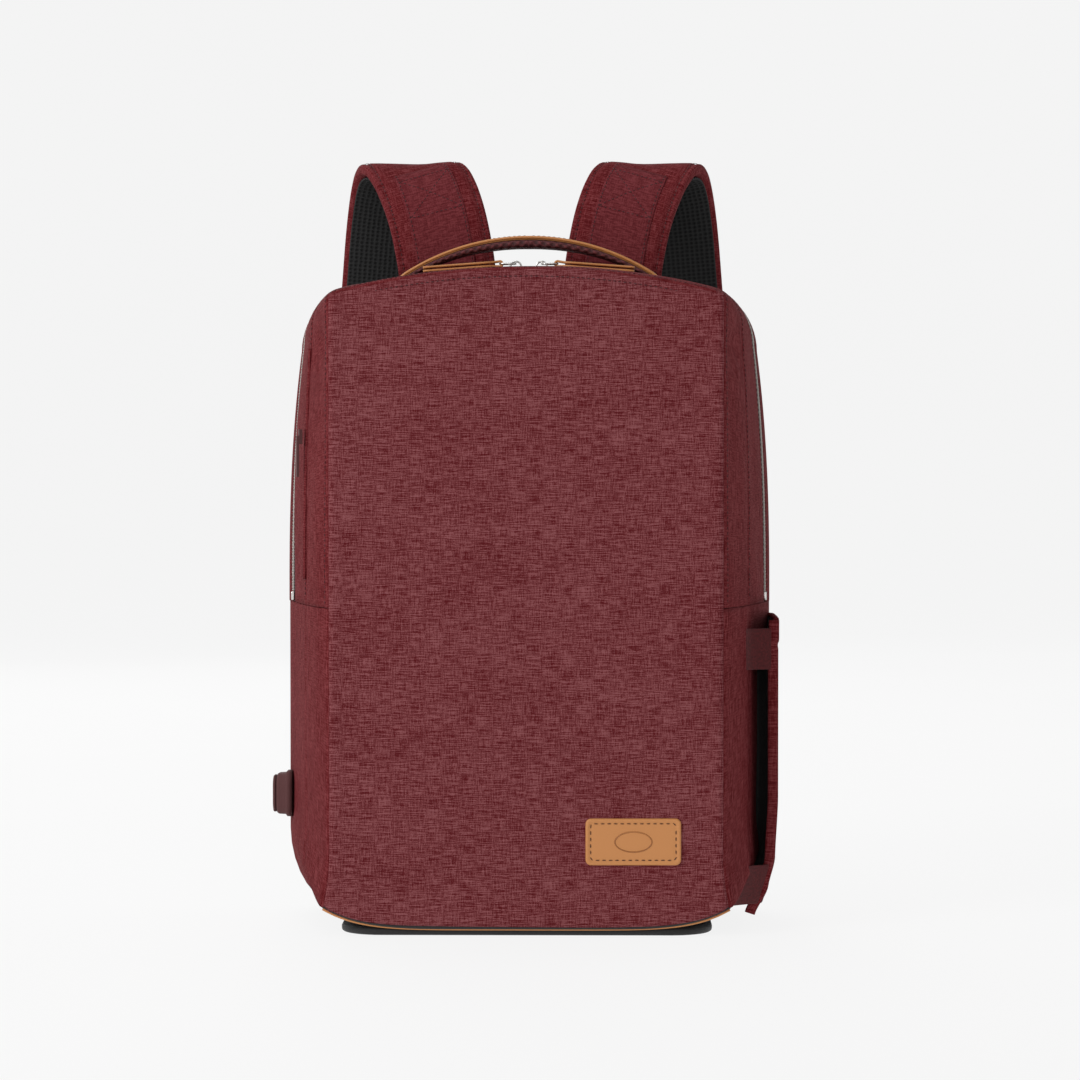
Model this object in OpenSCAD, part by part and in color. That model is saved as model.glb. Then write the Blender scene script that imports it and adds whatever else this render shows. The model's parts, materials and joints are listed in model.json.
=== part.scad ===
// Travel backpack with a half-height front lid, padded straps and a top handle.
// X is the wearer's left to right as seen from the front, the front faces -Y and Z is up.

/* [Body] */
// Greatest width of the body
body_w = 300; // [290:1:310]
// Height of the body at the zip, without the straps
body_h = 402; // [396:1:410]
// Width of the flat front panel
front_w = 235; // [228:1:242]
// Height of the front panel's top edge at its middle
front_h = 399; // [394:1:404]
// Depth from the front panel to the back panel
body_d = 141; // [138:1:144]
// Depth of the front pocket section
pocket_d = 45; // [42:1:48]
// Height of the seam where the side zips end
seam_z = 196; // [190:1:215]
// Thickness of the padded side walls
wall = 2.5; // [2:0.5:3]
// Thickness of the front panel
front_t = 3; // [2:0.5:4]
// Thickness of the padded back panel
back_t = 6; // [5:0.5:7]

/* [Shape] */
// Drop of the top edge from the middle to the front panel's corners
front_sag = 15; // [12:1:17]
// Radius of the rear top corners
corner_r = 42; // [38:1:46]
// Thickness of the base panel that the pack stands on
base_t = 4; // [3:0.5:5]

/* [Zip] */
// Distance of the zip line behind the middle plane
zip_y = 30; // [28:1:32]
// Width of each zip tape
tape_w = 4; // [3:0.5:5]
// Length of a leather zip pull
pull_l = 47; // [40:1:50]
// Width of a leather zip pull
pull_w = 11; // [10:1:12]
// Thickness of a leather zip pull
pull_t = 3; // [2:0.5:3]

/* [Handle] */
// Distance between the handle's two ends
handle_span = 152; // [140:2:156]
// Height of the handle over its ends
handle_rise = 22; // [20:1:24]
// Width of the handle
handle_w = 22; // [20:1:24]

/* [Straps] */
// Width of a shoulder strap
strap_w = 62; // [58:1:64]
// Thickness of a shoulder strap
strap_t = 12; // [10:1:13]
// Width of the reinforcing strip
patch_w = 37; // [34:1:40]
// Width of the adjusting webbing
webbing_w = 25; // [22:1:28]

/* [Hidden] */

burgundy = "#6d383b";
dark_burgundy = "#4e2326";
tan = "#bb8c5a";
black = "#1a1a1c";
metal = "#b9b9bd";

$fn = 32;
eps = 0.01;
// Gap between pieces on different bodies
gap = 0.3;
big = 400;

front_y = -75;
back_y = front_y + body_d;
fold_y = front_y + pocket_d;
wide_y = 45;
fold_mix = 0.53;
pad_t = 12;
floor_z = base_t;

// Points in each rounded corner of an outline, and points on half the top edge
corner_n = 8;
top_n = 6;
side_n = 6;

rear_sag = 11;
front_top_r = 3;
// Lower corner of the front panel: how far it flares out, and how far its edge rises above the base
front_corner = [1.5, 11];
front_smile = 6;
rear_corner = [32, 50];
shoulder_z = body_h - 8 - corner_r;
shoulder_drop = 8;

function arc(cx, cz, rx, rz, from, to, n) =
  [for (i = [0:n]) let (a = from + (to - from) * i / n) [cx + rx * cos(a), cz + rz * sin(a)]];

// Half outline of the front panel, from the bottom middle to the top middle
function front_half() =
  let (hw = front_w / 2, r = front_top_r, top = front_h - front_sag,
    low_x = hw + front_corner[0], low_z = floor_z + front_corner[1])
  concat(
    [for (i = [0:corner_n]) let (u = mix(0.55, 1, i / corner_n))
      [low_x * u, floor_z + front_corner[1] * pow(u, front_smile)]],
    [for (i = [1:side_n - 1]) [mix(low_x, hw, i / side_n), mix(low_z, top - r, i / side_n)]],
    arc(hw - r, top - r, r, r, 0, 80, corner_n),
    [for (i = [1:top_n - 1]) let (x = (hw - r) * (1 - i / top_n)) [x, front_h - front_sag * pow(x / hw, 2)]],
    [[0, front_h]]);

// Half outline of the body at its widest, with the same number of points
function rear_half() =
  let (hw = body_w / 2, r = corner_r, low = floor_z + rear_corner[1], cx = hw - shoulder_drop - r)
  concat(
    arc(hw - rear_corner[0], low, rear_corner[0], rear_corner[1], -90, 0, corner_n),
    [for (i = [1:side_n - 1]) let (z = mix(low, shoulder_z, i / side_n))
      [hw - shoulder_drop * pow(max(0, (z - 200) / (shoulder_z - 200)), 2.5), z]],
    arc(cx, shoulder_z, r, r, 0, 80, corner_n),
    [for (i = [1:top_n - 1]) let (x = cx * (1 - i / top_n)) [x, body_h - rear_sag * pow(x / (front_w / 2), 2)]],
    [[0, body_h]]);

function mix(a, b, t) = a + (b - a) * t;
function mixed(a, b, t) = [for (i = [0:len(a) - 1]) mix(a[i], b[i], t)];
function mirrored(half) = concat(half, [for (i = [len(half) - 2:-1:0]) [-half[i][0], half[i][1]]]);
// How far the outline has grown from the front panel to the widest section
function flare(y) =
  y <= fold_y ? fold_mix * (y - front_y) / (fold_y - front_y)
  : min(1, mix(fold_mix, 1, (y - fold_y) / (wide_y - fold_y)));
function outline(y) = mirrored(mixed(front_half(), rear_half(), flare(y)));

// Top of the body over X at a given depth, and the width of the wall over Z
function top_z(x, y) =
  let (t = flare(y), f = front_h - front_sag * pow(x / (front_w / 2), 2),
    r = body_h - rear_sag * pow(x / (front_w / 2), 2))
  mix(f, r, t);
function half_w(y) = mix(front_w / 2, body_w / 2, flare(y));

// Stands a flat outline up so that its own Y runs along Z, over a stretch of depth
module upright(y0, y1) {
  translate([0, y1, 0])
    rotate([90, 0, 0])
      linear_extrude(y1 - y0)
        children();
}

// Solid body between two depths, drawn in or let out by an inset
module core(y0, y1, inset = 0) {
  if (y0 > wide_y - 1)
    upright(y0, y1)
      offset(delta = -inset)
        polygon(outline(wide_y));
  else
    hull() {
      upright(y0, y0 + eps)
        offset(delta = -inset)
          polygon(outline(y0));
      upright(y1 - eps, y1)
        offset(delta = -inset)
          polygon(outline(y1));
    }
}

// Wall of the body between two depths
module shell(y0, y1, inner, outer = 0) {
  difference() {
    core(y0, y1, outer);
    core(y0 - eps, y1 + eps, inner);
  }
}

module above(z) {
  intersection() {
    children();
    translate([-big, -big, z])
      cube([2 * big, 2 * big, big]);
  }
}

module below(z) {
  intersection() {
    children();
    translate([-big, -big, z - big])
      cube([2 * big, 2 * big, big]);
  }
}

module block(low, high) {
  translate(low)
    cube(high - low);
}

// Box with its four edges along X rounded
module rounded_x(low, high, r) {
  translate([low[0], 0, 0])
    rotate([90, 0, 90])
      linear_extrude(high[0] - low[0])
        hull()
          for (y = [low[1] + r, high[1] - r], z = [low[2] + r, high[2] - r])
            translate([y, z])
              circle(r);
}

// Box with its four edges along Y rounded
module rounded_y(low, high, r) {
  upright(low[1], high[1])
    hull()
      for (x = [low[0] + r, high[0] - r], z = [low[2] + r, high[2] - r])
        translate([x, z])
          circle(r);
}

// ---- Front and body walls ----

zip_front = zip_y - tape_w;
zip_rear = zip_y + tape_w;
back_in = back_y - back_t;
split = seam_z - gap;

module lower_front_panel() {
  color(burgundy)
    below(split)
      core(front_y, front_y + front_t);
}

module upper_front_panel() {
  color(burgundy)
    above(seam_z)
      core(front_y, front_y + front_t);
}

module lower_gusset() {
  color(burgundy)
    below(split) {
      shell(front_y + front_t, fold_y, wall);
      shell(fold_y, wide_y, wall);
      shell(wide_y, back_in, wall);
    }
}

module upper_gusset() {
  color(burgundy)
    above(seam_z) {
      shell(front_y + front_t, fold_y, wall);
      shell(fold_y, zip_front, wall);
    }
}

module rear_gusset() {
  color(burgundy)
    above(split) {
      shell(zip_rear, wide_y, wall);
      shell(wide_y, back_in, wall);
    }
}

divider_t = 1.2;

module divider_lower() {
  color(black)
    below(split)
      core(fold_y, fold_y + divider_t, wall + gap);
}

module divider_upper() {
  color(black)
    above(seam_z)
      core(fold_y, fold_y + divider_t, wall + gap);
}

// Mesh pocket on the lid's lining
module mesh_pocket() {
  lo = [-90, fold_y + divider_t, 225];
  hi = [90, fold_y + divider_t + 8, 335];
  color(black)
    difference() {
      block(lo, hi);
      block(lo + [1.2, -eps, 1.2], hi + [-1.2, -1.2, 1]);
    }
}

module back_panel() {
  color(black)
    core(back_in, back_y);
}

sheet_t = 1.4;

module frame_sheet() {
  color(black)
    core(back_in - sheet_t, back_in, 6);
}

// ---- Base ----

base_x = 112;
base_y0 = -70;
base_y1 = 58;

module base_panel() {
  color(black)
    linear_extrude(base_t)
      hull()
        for (x = [-base_x + 25, base_x - 25], y = [base_y0 + 25, base_y1 - 25])
          translate([x, y])
            circle(25);
}

piping_w = 2.5;
piping_t = 1.6;
piping_top = 18;

module base_piping() {
  color(tan)
    below(piping_top)
      upright(front_y - piping_t, front_y)
        difference() {
          polygon(outline(front_y));
          offset(delta = -piping_w)
            polygon(outline(front_y));
        }
}

badge_x = [35.5, 92.5];
badge_z = [43, 71];
badge_t = 1.8;

module badge() {
  color(tan)
    rounded_y([badge_x[0], front_y - badge_t, badge_z[0]], [badge_x[1], front_y, badge_z[1]], 3);
}

// ---- Inside pockets ----

sleeve_y = [33, back_in - sheet_t];
sleeve_x = 134;
sleeve_z = [32, 290];

module laptop_sleeve() {
  lo = [-sleeve_x, sleeve_y[0], sleeve_z[0]];
  hi = [sleeve_x, sleeve_y[1], sleeve_z[1]];
  color(black)
    difference() {
      block(lo, hi);
      block(lo + [3, 2, 3], hi + [-3, eps, 1]);
    }
}

tablet_x = 100;
tablet_z = [40, 215];
tablet_d = 8;

module tablet_pocket() {
  lo = [-tablet_x, sleeve_y[0] - tablet_d, tablet_z[0]];
  hi = [tablet_x, sleeve_y[0], tablet_z[1]];
  color(black)
    difference() {
      block(lo, hi);
      block(lo + [2, 1.5, 2], hi + [-2, eps, 1]);
    }
}

// ---- Back padding and luggage strap ----

module back_pad(side) {
  color(black)
    scale_side(side)
      rounded_y([8, back_y, 70], [118, back_y + pad_t, 350], 22);
}

module back_pad_left() {
  back_pad(-1);
}

module back_pad_right() {
  back_pad(1);
}

module scale_side(side) {
  if (side < 0)
    mirror([1, 0, 0])
      children();
  else
    children();
}

module lumbar_pad() {
  color(black)
    rounded_y([-105, back_y, 16], [105, back_y + pad_t, 62], 18);
}

luggage_z = [146, 200];
luggage_x = 141;
luggage_t = 2;
luggage_slope = 17;

// Flat band across the back that a trolley handle passes under
module luggage_strap() {
  y0 = back_y;
  y1 = back_y + pad_t + 8;
  x1 = luggage_x - luggage_slope;
  color(dark_burgundy)
    translate([0, 0, luggage_z[0]])
      linear_extrude(luggage_z[1] - luggage_z[0])
        polygon([
          [-luggage_x, y0], [-x1, y1], [x1, y1], [luggage_x, y0],
          [luggage_x - 3, y0], [x1 - 1, y1 - luggage_t], [-x1 + 1, y1 - luggage_t], [-luggage_x + 3, y0]
        ]);
}

// ---- Main zip ----

teeth_out = 1;
teeth_w = 2;
// Gap between the walls and what lies on them
skin_gap = 0.15;

module zip_front_tape() {
  color(black)
    above(seam_z)
      shell(zip_front, zip_y - gap / 2, 1.2);
}

module zip_rear_tape() {
  color(black)
    above(split)
      shell(zip_y + gap / 2, zip_rear, 1.2);
}

module zip_front_teeth() {
  color(metal)
    above(seam_z)
      shell(zip_y - teeth_w, zip_y - gap / 2, -skin_gap, -teeth_out);
}

module zip_rear_teeth() {
  color(metal)
    above(split)
      shell(zip_y + gap / 2, zip_y + teeth_w, -skin_gap, -teeth_out);
}

// The top edge is close to an arc of this radius, so the sliders swing along it
track_r = pow(front_w / 2, 2) / (2 * mix(front_sag, rear_sag, flare(zip_y)));
track_z = top_z(0, zip_y) - track_r;
ride_z = top_z(0, zip_y) + teeth_out;

slider_l = 10;
slider_w = 8.5;
slider_gap = 0.35;
slider_t = 1.6;
crown_r = 3.4;
crown_wire = 1.2;
slider_x = 8;
link_z = ride_z + slider_gap + slider_t + 1.8;
link_l = 11;
link_w = 7;
link_t = 1.2;
pull_x = slider_x + link_l;
pull_tilt = 4.2;

module slider(side) {
  z0 = ride_z + slider_gap;
  color(metal)
    scale_side(side) {
      translate([slider_x - slider_l / 2, zip_y - slider_w / 2, z0])
        cube([slider_l, slider_w, slider_t]);
      translate([slider_x, zip_y, z0 + slider_t])
        rotate([90, 0, 0])
          rotate_extrude(angle = 180)
            translate([crown_r, 0])
              square([crown_wire, 3], center = true);
    }
}

module slider_left() {
  slider(-1);
}

module slider_right() {
  slider(1);
}

// Flat ring that hangs in the slider's crown and carries the pull
module link(side) {
  color(metal)
    scale_side(side)
      translate([slider_x - 0.4, zip_y, link_z])
        linear_extrude(link_t, center = true)
          difference() {
            hull()
              for (x = [link_w / 2, link_l - link_w / 2])
                translate([x, 0])
                  circle(link_w / 2);
            hull()
              for (x = [link_w / 2, link_l - link_w / 2])
                translate([x, 0])
                  circle(link_w / 2 - 1.2);
          }
}

module link_left() {
  link(-1);
}

module link_right() {
  link(1);
}

// Doubled leather pull that starts just past the far bar of the link
module pull(side) {
  color(tan)
    scale_side(side)
      translate([pull_x, zip_y, link_z])
        rotate([0, pull_tilt, 0])
          translate([0, 0, -pull_t / 2 - 0.2])
            linear_extrude(pull_t)
              hull() {
                translate([0, -link_w / 2])
                  square([1, link_w]);
                translate([8, -pull_w / 2])
                  square([1, pull_w]);
                for (y = [-1, 1])
                  translate([pull_l - 2, y * (pull_w / 2 - 2)])
                    circle(2);
              }
}

module pull_left() {
  pull(-1);
}

module pull_right() {
  pull(1);
}

// ---- Left side zip of the front pocket ----

side_zip_z = [203, 352];
side_zip_y = [fold_y + 2, fold_y + 7];
side_zip_t = 0.8;
side_slider_z = 294;
side_slider_gap = 0.9;
side_plate_t = 2;
side_tab_t = 1.4;

// Slope of the wall's outer face beside the fold, seen from above
side_lean = atan2(half_w(fold_y + 20) - half_w(fold_y + 1), 19);

module side_zip() {
  color(black)
    intersection() {
      shell(side_zip_y[0], side_zip_y[1], -skin_gap, -side_zip_t);
      block([-body_w, fold_y, side_zip_z[0]], [0, wide_y, side_zip_z[1]]);
    }
}

// Small slider with a hanging metal tab
module side_slider() {
  y = (side_zip_y[0] + side_zip_y[1]) / 2;
  out = side_zip_t + side_slider_gap;
  color(metal)
    translate([-half_w(y), y, side_slider_z])
      rotate([0, 0, side_lean]) {
        translate([-out - side_plate_t, -3, 0])
          cube([side_plate_t, 6, 9]);
        translate([-out - side_plate_t - side_tab_t, -2.5, -20])
          cube([side_tab_t, 5, 25]);
      }
}

// ---- Handle ----

handle_y = 50;
handle_half = handle_span / 2;
handle_r = (pow(handle_half, 2) + pow(handle_rise, 2)) / (2 * handle_rise);
handle_z = top_z(handle_half, handle_y) + 3;
handle_cz = handle_z + handle_rise - handle_r;
swing_half = 54;
leather_t = 2;
ribbed_t = 3;
// Gap that lets the arch tilt between its two sewn ends
anchor_gap = 1.4;

// Part of the handle's arch between two distances from the middle
module arch(x0, x1, r, t, w) {
  a0 = acos(x1 / handle_r);
  a1 = acos(x0 / handle_r);
  translate([0, handle_y, handle_cz])
    rotate([90, 0, 0])
      rotate([0, 0, a0])
        rotate_extrude(angle = a1 - a0, $fn = 96)
          translate([r, -w / 2])
            square([t, w]);
}

module handle_leather() {
  color(tan)
    arch(-swing_half, swing_half, handle_r, leather_t, handle_w - 6);
}

module handle_webbing() {
  color(dark_burgundy)
    arch(-swing_half, swing_half, handle_r - ribbed_t, ribbed_t, handle_w);
}

module handle_anchor(side) {
  color(tan)
    scale_side(side)
      arch(swing_half + anchor_gap, handle_half, handle_r - ribbed_t, leather_t + ribbed_t, handle_w - 2);
}

module handle_anchor_left() {
  handle_anchor(-1);
}

module handle_anchor_right() {
  handle_anchor(1);
}

// ---- Shoulder straps ----

// Middle line of the right strap, from its top seam over the shoulder to its lower end
strap_route = [
  [52, 84, 392], [54, 85, 412], [60, 91, 440], [69, 105, 462], [79, 123, 470],
  [86, 142, 462], [91, 155, 436], [95, 161, 392], [99, 159, 340], [103, 151, 285],
  [107, 140, 235], [110, 129, 195]
];
// Middle line of the right adjusting webbing, down to the wing at the base
webbing_route = [
  [111.5, 121, 166], [113, 112, 140], [116, 98, 100], [120, 87, 63], [123, 81, 43.5]
];
strap_steps = 3;

function dot(a, b) = a[0] * b[0] + a[1] * b[1] + a[2] * b[2];
function unit(v) = v / norm(v);
// Smooth curve through the points of a route
function curve_point(p, i, t) =
  let (n = len(p) - 1, a = p[max(0, i - 1)], b = p[i], c = p[min(n, i + 1)], d = p[min(n, i + 2)])
  0.5 * (2 * b + (c - a) * t + (2 * a - 5 * b + 4 * c - d) * t * t + (3 * b - a - 3 * c + d) * t * t * t);
function curve(p, steps) =
  concat([for (i = [0:len(p) - 2], s = [0:steps - 1]) curve_point(p, i, s / steps)], [p[len(p) - 1]]);
function tangents(c) =
  [for (i = [0:len(c) - 1]) unit(c[min(len(c) - 1, i + 1)] - c[max(0, i - 1)])];

// Flat band swept along a curve: its width lies across X and n0 to n1 is its thickness
module band(c, w, n0, n1, chamfer) {
  t = tangents(c);
  k = 8;
  section = [
    [-w / 2 + chamfer, n0], [w / 2 - chamfer, n0], [w / 2, n0 + chamfer / 2], [w / 2, n1 - chamfer],
    [w / 2 - chamfer, n1], [-w / 2 + chamfer, n1], [-w / 2, n1 - chamfer], [-w / 2, n0 + chamfer / 2]
  ];
  points = [for (i = [0:len(c) - 1], q = section)
    let (across = unit([1, 0, 0] - t[i][0] * t[i]), out = cross(across, t[i]))
    c[i] - q[0] * across + q[1] * out];
  // The outer face is split along the same diagonals as the inner one, so bands lie flat on each other
  outer = 4;
  sides = [for (i = [0:len(c) - 2], j = [0:k - 1])
    let (m = (j + 1) % k, p = i * k + j, q = i * k + m, r = (i + 1) * k + m, s = (i + 1) * k + j)
    each (j == outer ? [[p, q, s], [q, r, s]] : [[p, q, r], [p, r, s]])];
  ends = [[for (j = [k - 1:-1:0]) j], [for (j = [0:k - 1]) (len(c) - 1) * k + j]];
  polyhedron(points, concat(sides, ends), convexity = 6);
}

mesh_t = 1.3;
patch_t = 1;
// Gap between the layers of a strap
layer_gap = 0.35;

module strap_pad(side) {
  color(burgundy)
    scale_side(side)
      band(curve(strap_route, strap_steps), strap_w, -strap_t / 2 + mesh_t + layer_gap, strap_t / 2, 2);
}

module strap_mesh(side) {
  color(black)
    scale_side(side)
      band(curve(strap_route, strap_steps), strap_w - 6, -strap_t / 2, -strap_t / 2 + mesh_t, 0.5);
}

module strap_patch(side) {
  whole = curve(strap_route, strap_steps);
  route = [for (i = [0:3 * strap_steps]) whole[i]];
  color(burgundy)
    scale_side(side)
      band(route, patch_w, strap_t / 2 + layer_gap, strap_t / 2 + layer_gap + patch_t, 0.3);
}

lock_w = 38;
lock_l = 30;
lock_t = 5;
lock_pitch = 17;

module ladder_lock(side) {
  color(black)
    scale_side(side)
      translate([110.8, 125, 180.5])
        rotate([lock_pitch, -3, 0])
          upright(-lock_t / 2, lock_t / 2)
            difference() {
              hull()
                for (x = [-1, 1], z = [-1, 1])
                  translate([x * (lock_w / 2 - 4), z * (lock_l / 2 - 4 - 1)])
                    circle(4);
              for (z = [-7, 0, 7])
                translate([-14, z - 1.6])
                  square([28, 3.2]);
            }
}

module strap_webbing(side) {
  color(dark_burgundy)
    scale_side(side)
      band(curve(webbing_route, 2), webbing_w, -0.8, 0.8, 0.3);
}

module strap_pad_left() {
  strap_pad(-1);
}

module strap_pad_right() {
  strap_pad(1);
}

module strap_mesh_left() {
  strap_mesh(-1);
}

module strap_mesh_right() {
  strap_mesh(1);
}

module strap_patch_left() {
  strap_patch(-1);
}

module strap_patch_right() {
  strap_patch(1);
}

module ladder_lock_left() {
  ladder_lock(-1);
}

module ladder_lock_right() {
  ladder_lock(1);
}

module strap_webbing_left() {
  strap_webbing(-1);
}

module strap_webbing_right() {
  strap_webbing(1);
}

root_x = [24, 80];
root_z = [370, 388];
root_d = 23;

// Sewn panel with the two padded roots of the straps
module strap_yoke() {
  color(burgundy) {
    rounded_y([-92, back_y, 354], [92, back_y + 7, root_z[1]], 6);
    for (side = [-1, 1])
      scale_side(side)
        translate([root_x[0], 0, 0])
          rotate([90, 0, 90])
            linear_extrude(root_x[1] - root_x[0])
              polygon([
                [back_y + 5, root_z[0] - 14], [back_y + root_d, root_z[1] - 8],
                [back_y + root_d, root_z[1]], [back_y + 5, root_z[1]]
              ]);
  }
}

wing_seam_z = [20, 82];
wing_end = [[109, back_y + 8, 27], [137, back_y + 12, 37]];

// Triangular wing sewn into the back seam, which takes the end of the webbing
module wing(side) {
  color(burgundy)
    scale_side(side)
      hull() {
        block([139, back_y, wing_seam_z[0]], [141, back_y + 3, wing_seam_z[1]]);
        block([110, back_y, wing_seam_z[0]], [141, back_y + 3, wing_seam_z[0] + 6]);
        block(wing_end[0], wing_end[1]);
      }
}

module wing_left() {
  wing(-1);
}

module wing_right() {
  wing(1);
}

// ---- Bottle pocket on the right ----

bottle_y = [-27, 45];
bottle_z = [8, 187];
bottle_x = body_w / 2 + 0.8;
bottle_t = 2.5;
// Heights at which the panel turns in towards the base, and how far it turns in there
bottle_bend = [[60, 0], [42, 0.8], [25, 4.8], [bottle_z[0], 12]];

function bottle_in(z) = bottle_x - lookup(-z, [for (b = bottle_bend) [-b[0], b[1]]]);
function bottle_line(out, z0, z1) =
  concat([[bottle_in(z1) + out, z1]],
    [for (b = bottle_bend) if (b[0] > z0 && b[0] < z1) [bottle_in(b[0]) + out, b[0]]],
    [[bottle_in(z0) + out, z0]]);

module bottle_panel() {
  inner = bottle_line(0, bottle_z[0], bottle_z[1]);
  outer = bottle_line(bottle_t, bottle_z[0], bottle_z[1]);
  color(burgundy)
    upright(bottle_y[0], bottle_y[1])
      polygon(concat(outer, [for (i = [len(inner) - 1:-1:0]) inner[i]]));
}

// Black elastic pleat behind the pocket's front edge, and the pocket's floor
module bottle_gusset() {
  top = 150;
  set_back = 20;
  low = bottle_z[0] + 10;
  color(black)
    difference() {
      union() {
        upright(bottle_y[0] + set_back, bottle_y[0] + set_back + 1.5)
          polygon(concat([[60, low], [60, top]], bottle_line(-gap - 0.2, low, top)));
        upright(bottle_y[0] + set_back, bottle_y[1] - 4)
          polygon(concat([[60, low], [60, low + 2]], bottle_line(-gap - 0.2, low, low + 2)));
      }
      core(fold_y, wide_y);
    }
}

tab_top_z = [157, 182];
tab_low_z = [14, 38];
tab_reach = 11;

// Elastic tab folded over the pocket's front corner
module bottle_tab(z) {
  x = bottle_in(z[0] + 10);
  y = bottle_y[0];
  wall_x = half_w(y - tab_reach) + 1.4;
  color(dark_burgundy)
    hull() {
      block([x, y - 1.5, z[0]], [x + bottle_t, y, z[1]]);
      block([wall_x, y - tab_reach, z[0]], [wall_x + 1.2, y - tab_reach + 1, z[1]]);
    }
}

module bottle_tab_top() {
  bottle_tab(tab_top_z);
}

module bottle_tab_bottom() {
  bottle_tab(tab_low_z);
}

// ---- Charging port on the left ----

port_y = 28;
port_z = [63, 89];
port_w = 20;
port_x = body_w / 2 + 9.5;

// Rounded housing with a downward-sloping nose
module usb_housing() {
  color(dark_burgundy)
    difference() {
      rounded_x([-port_x + 2, port_y - port_w / 2, port_z[0]],
                [-half_w(port_y) + 1, port_y + port_w / 2, port_z[1]], 6);
      core(fold_y, wide_y, -0.05);
      block([-port_x - 5, port_y - 7.2, 72], [-half_w(port_y) - 2, port_y + 7.2, 79.5]);
    }
}

module usb_socket() {
  lo = [-port_x + 3.5, port_y - 7, 72.2];
  hi = [-half_w(port_y) - 2.2, port_y + 7, 79.3];
  color(metal)
    difference() {
      block(lo, hi);
      block(lo + [-eps, 0.6, 0.6], hi + [-0.8, -0.6, -0.6]);
    }
}

module usb_cap() {
  color(dark_burgundy)
    rounded_x([-port_x, port_y - port_w / 2 + 1.5, port_z[0] + 2],
              [-port_x + 2 - gap, port_y + port_w / 2 - 1.5, port_z[1] - 2], 4);
}

back_panel();
frame_sheet();
back_pad_left();
back_pad_right();
lumbar_pad();
laptop_sleeve();
tablet_pocket();
rear_gusset();
lower_gusset();
lower_front_panel();
divider_lower();
base_panel();
base_piping();
badge();
usb_housing();
usb_socket();
zip_rear_tape();
zip_rear_teeth();
handle_anchor_left();
handle_anchor_right();
strap_yoke();
wing_left();
wing_right();
luggage_strap();
bottle_gusset();
upper_front_panel();
upper_gusset();
divider_upper();
mesh_pocket();
zip_front_tape();
zip_front_teeth();
side_zip();
slider_left();
slider_right();
link_left();
link_right();
pull_left();
pull_right();
handle_leather();
handle_webbing();
strap_pad_left();
strap_pad_right();
strap_mesh_left();
strap_mesh_right();
strap_patch_left();
strap_patch_right();
ladder_lock_left();
ladder_lock_right();
strap_webbing_left();
strap_webbing_right();
bottle_panel();
bottle_tab_top();
bottle_tab_bottom();
usb_cap();
side_slider();
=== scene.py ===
"""Travel backpack: sewn shell, straps, handle, zips and pockets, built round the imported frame."""
import json
import logging
import math
from dataclasses import dataclass, field
from enum import Enum
from typing import Callable, Sequence

import bmesh
import bpy
from mathutils import Matrix, Vector, noise
from mathutils.bvhtree import BVHTree

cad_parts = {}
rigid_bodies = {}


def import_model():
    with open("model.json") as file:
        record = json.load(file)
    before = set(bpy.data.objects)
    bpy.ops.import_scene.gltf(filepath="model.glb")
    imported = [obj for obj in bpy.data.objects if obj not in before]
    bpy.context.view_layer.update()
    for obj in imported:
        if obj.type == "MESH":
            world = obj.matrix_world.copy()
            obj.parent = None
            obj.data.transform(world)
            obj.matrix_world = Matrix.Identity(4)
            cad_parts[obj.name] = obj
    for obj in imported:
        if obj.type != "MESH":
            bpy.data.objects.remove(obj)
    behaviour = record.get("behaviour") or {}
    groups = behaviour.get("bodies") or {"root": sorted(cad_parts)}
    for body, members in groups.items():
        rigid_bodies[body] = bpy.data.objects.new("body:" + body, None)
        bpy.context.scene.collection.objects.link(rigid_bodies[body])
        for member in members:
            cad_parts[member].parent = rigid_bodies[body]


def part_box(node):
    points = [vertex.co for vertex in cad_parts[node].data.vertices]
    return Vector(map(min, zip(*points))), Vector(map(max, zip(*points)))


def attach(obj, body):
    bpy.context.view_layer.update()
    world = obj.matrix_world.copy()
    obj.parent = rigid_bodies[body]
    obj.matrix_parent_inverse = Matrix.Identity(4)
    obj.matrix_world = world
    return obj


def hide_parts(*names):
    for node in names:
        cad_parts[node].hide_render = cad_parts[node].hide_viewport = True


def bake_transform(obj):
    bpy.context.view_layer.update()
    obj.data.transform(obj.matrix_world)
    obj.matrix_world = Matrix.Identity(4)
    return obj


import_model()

log = logging.getLogger("backpack")
MM = 0.001
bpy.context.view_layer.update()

Points = Sequence[Vector]


class Body(str, Enum):
    """The moving bodies of the pack, named as the frame names them."""

    PACK = "pack"
    LID = "lid"
    HANDLE = "top_handle"
    BOTTLE = "bottle_pocket"
    CAP = "port_cap"
    SIDE_SLIDER = "side_zip_slider"


class Side(Enum):
    """Left or right of the pack, as seen from the front."""

    LEFT = -1
    RIGHT = 1

    @property
    def word(self) -> str:
        """The side's name as nodes and bodies spell it."""
        return "left" if self is Side.LEFT else "right"


# ---- Small geometry helpers ----


def mix(a: float, b: float, t: float) -> float:
    """Value between a and b, at share t of the way."""
    return a + (b - a) * t


def smooth(t: float) -> float:
    """Share t, clamped to 0 to 1 and eased at both ends."""
    t = min(1.0, max(0.0, t))
    return t * t * (3 - 2 * t)


def bump_at(distance: float, width: float) -> float:
    """Height of a soft rounded ridge of that half width, 1 at its middle."""
    return math.exp(-((distance / width) ** 2))


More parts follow.
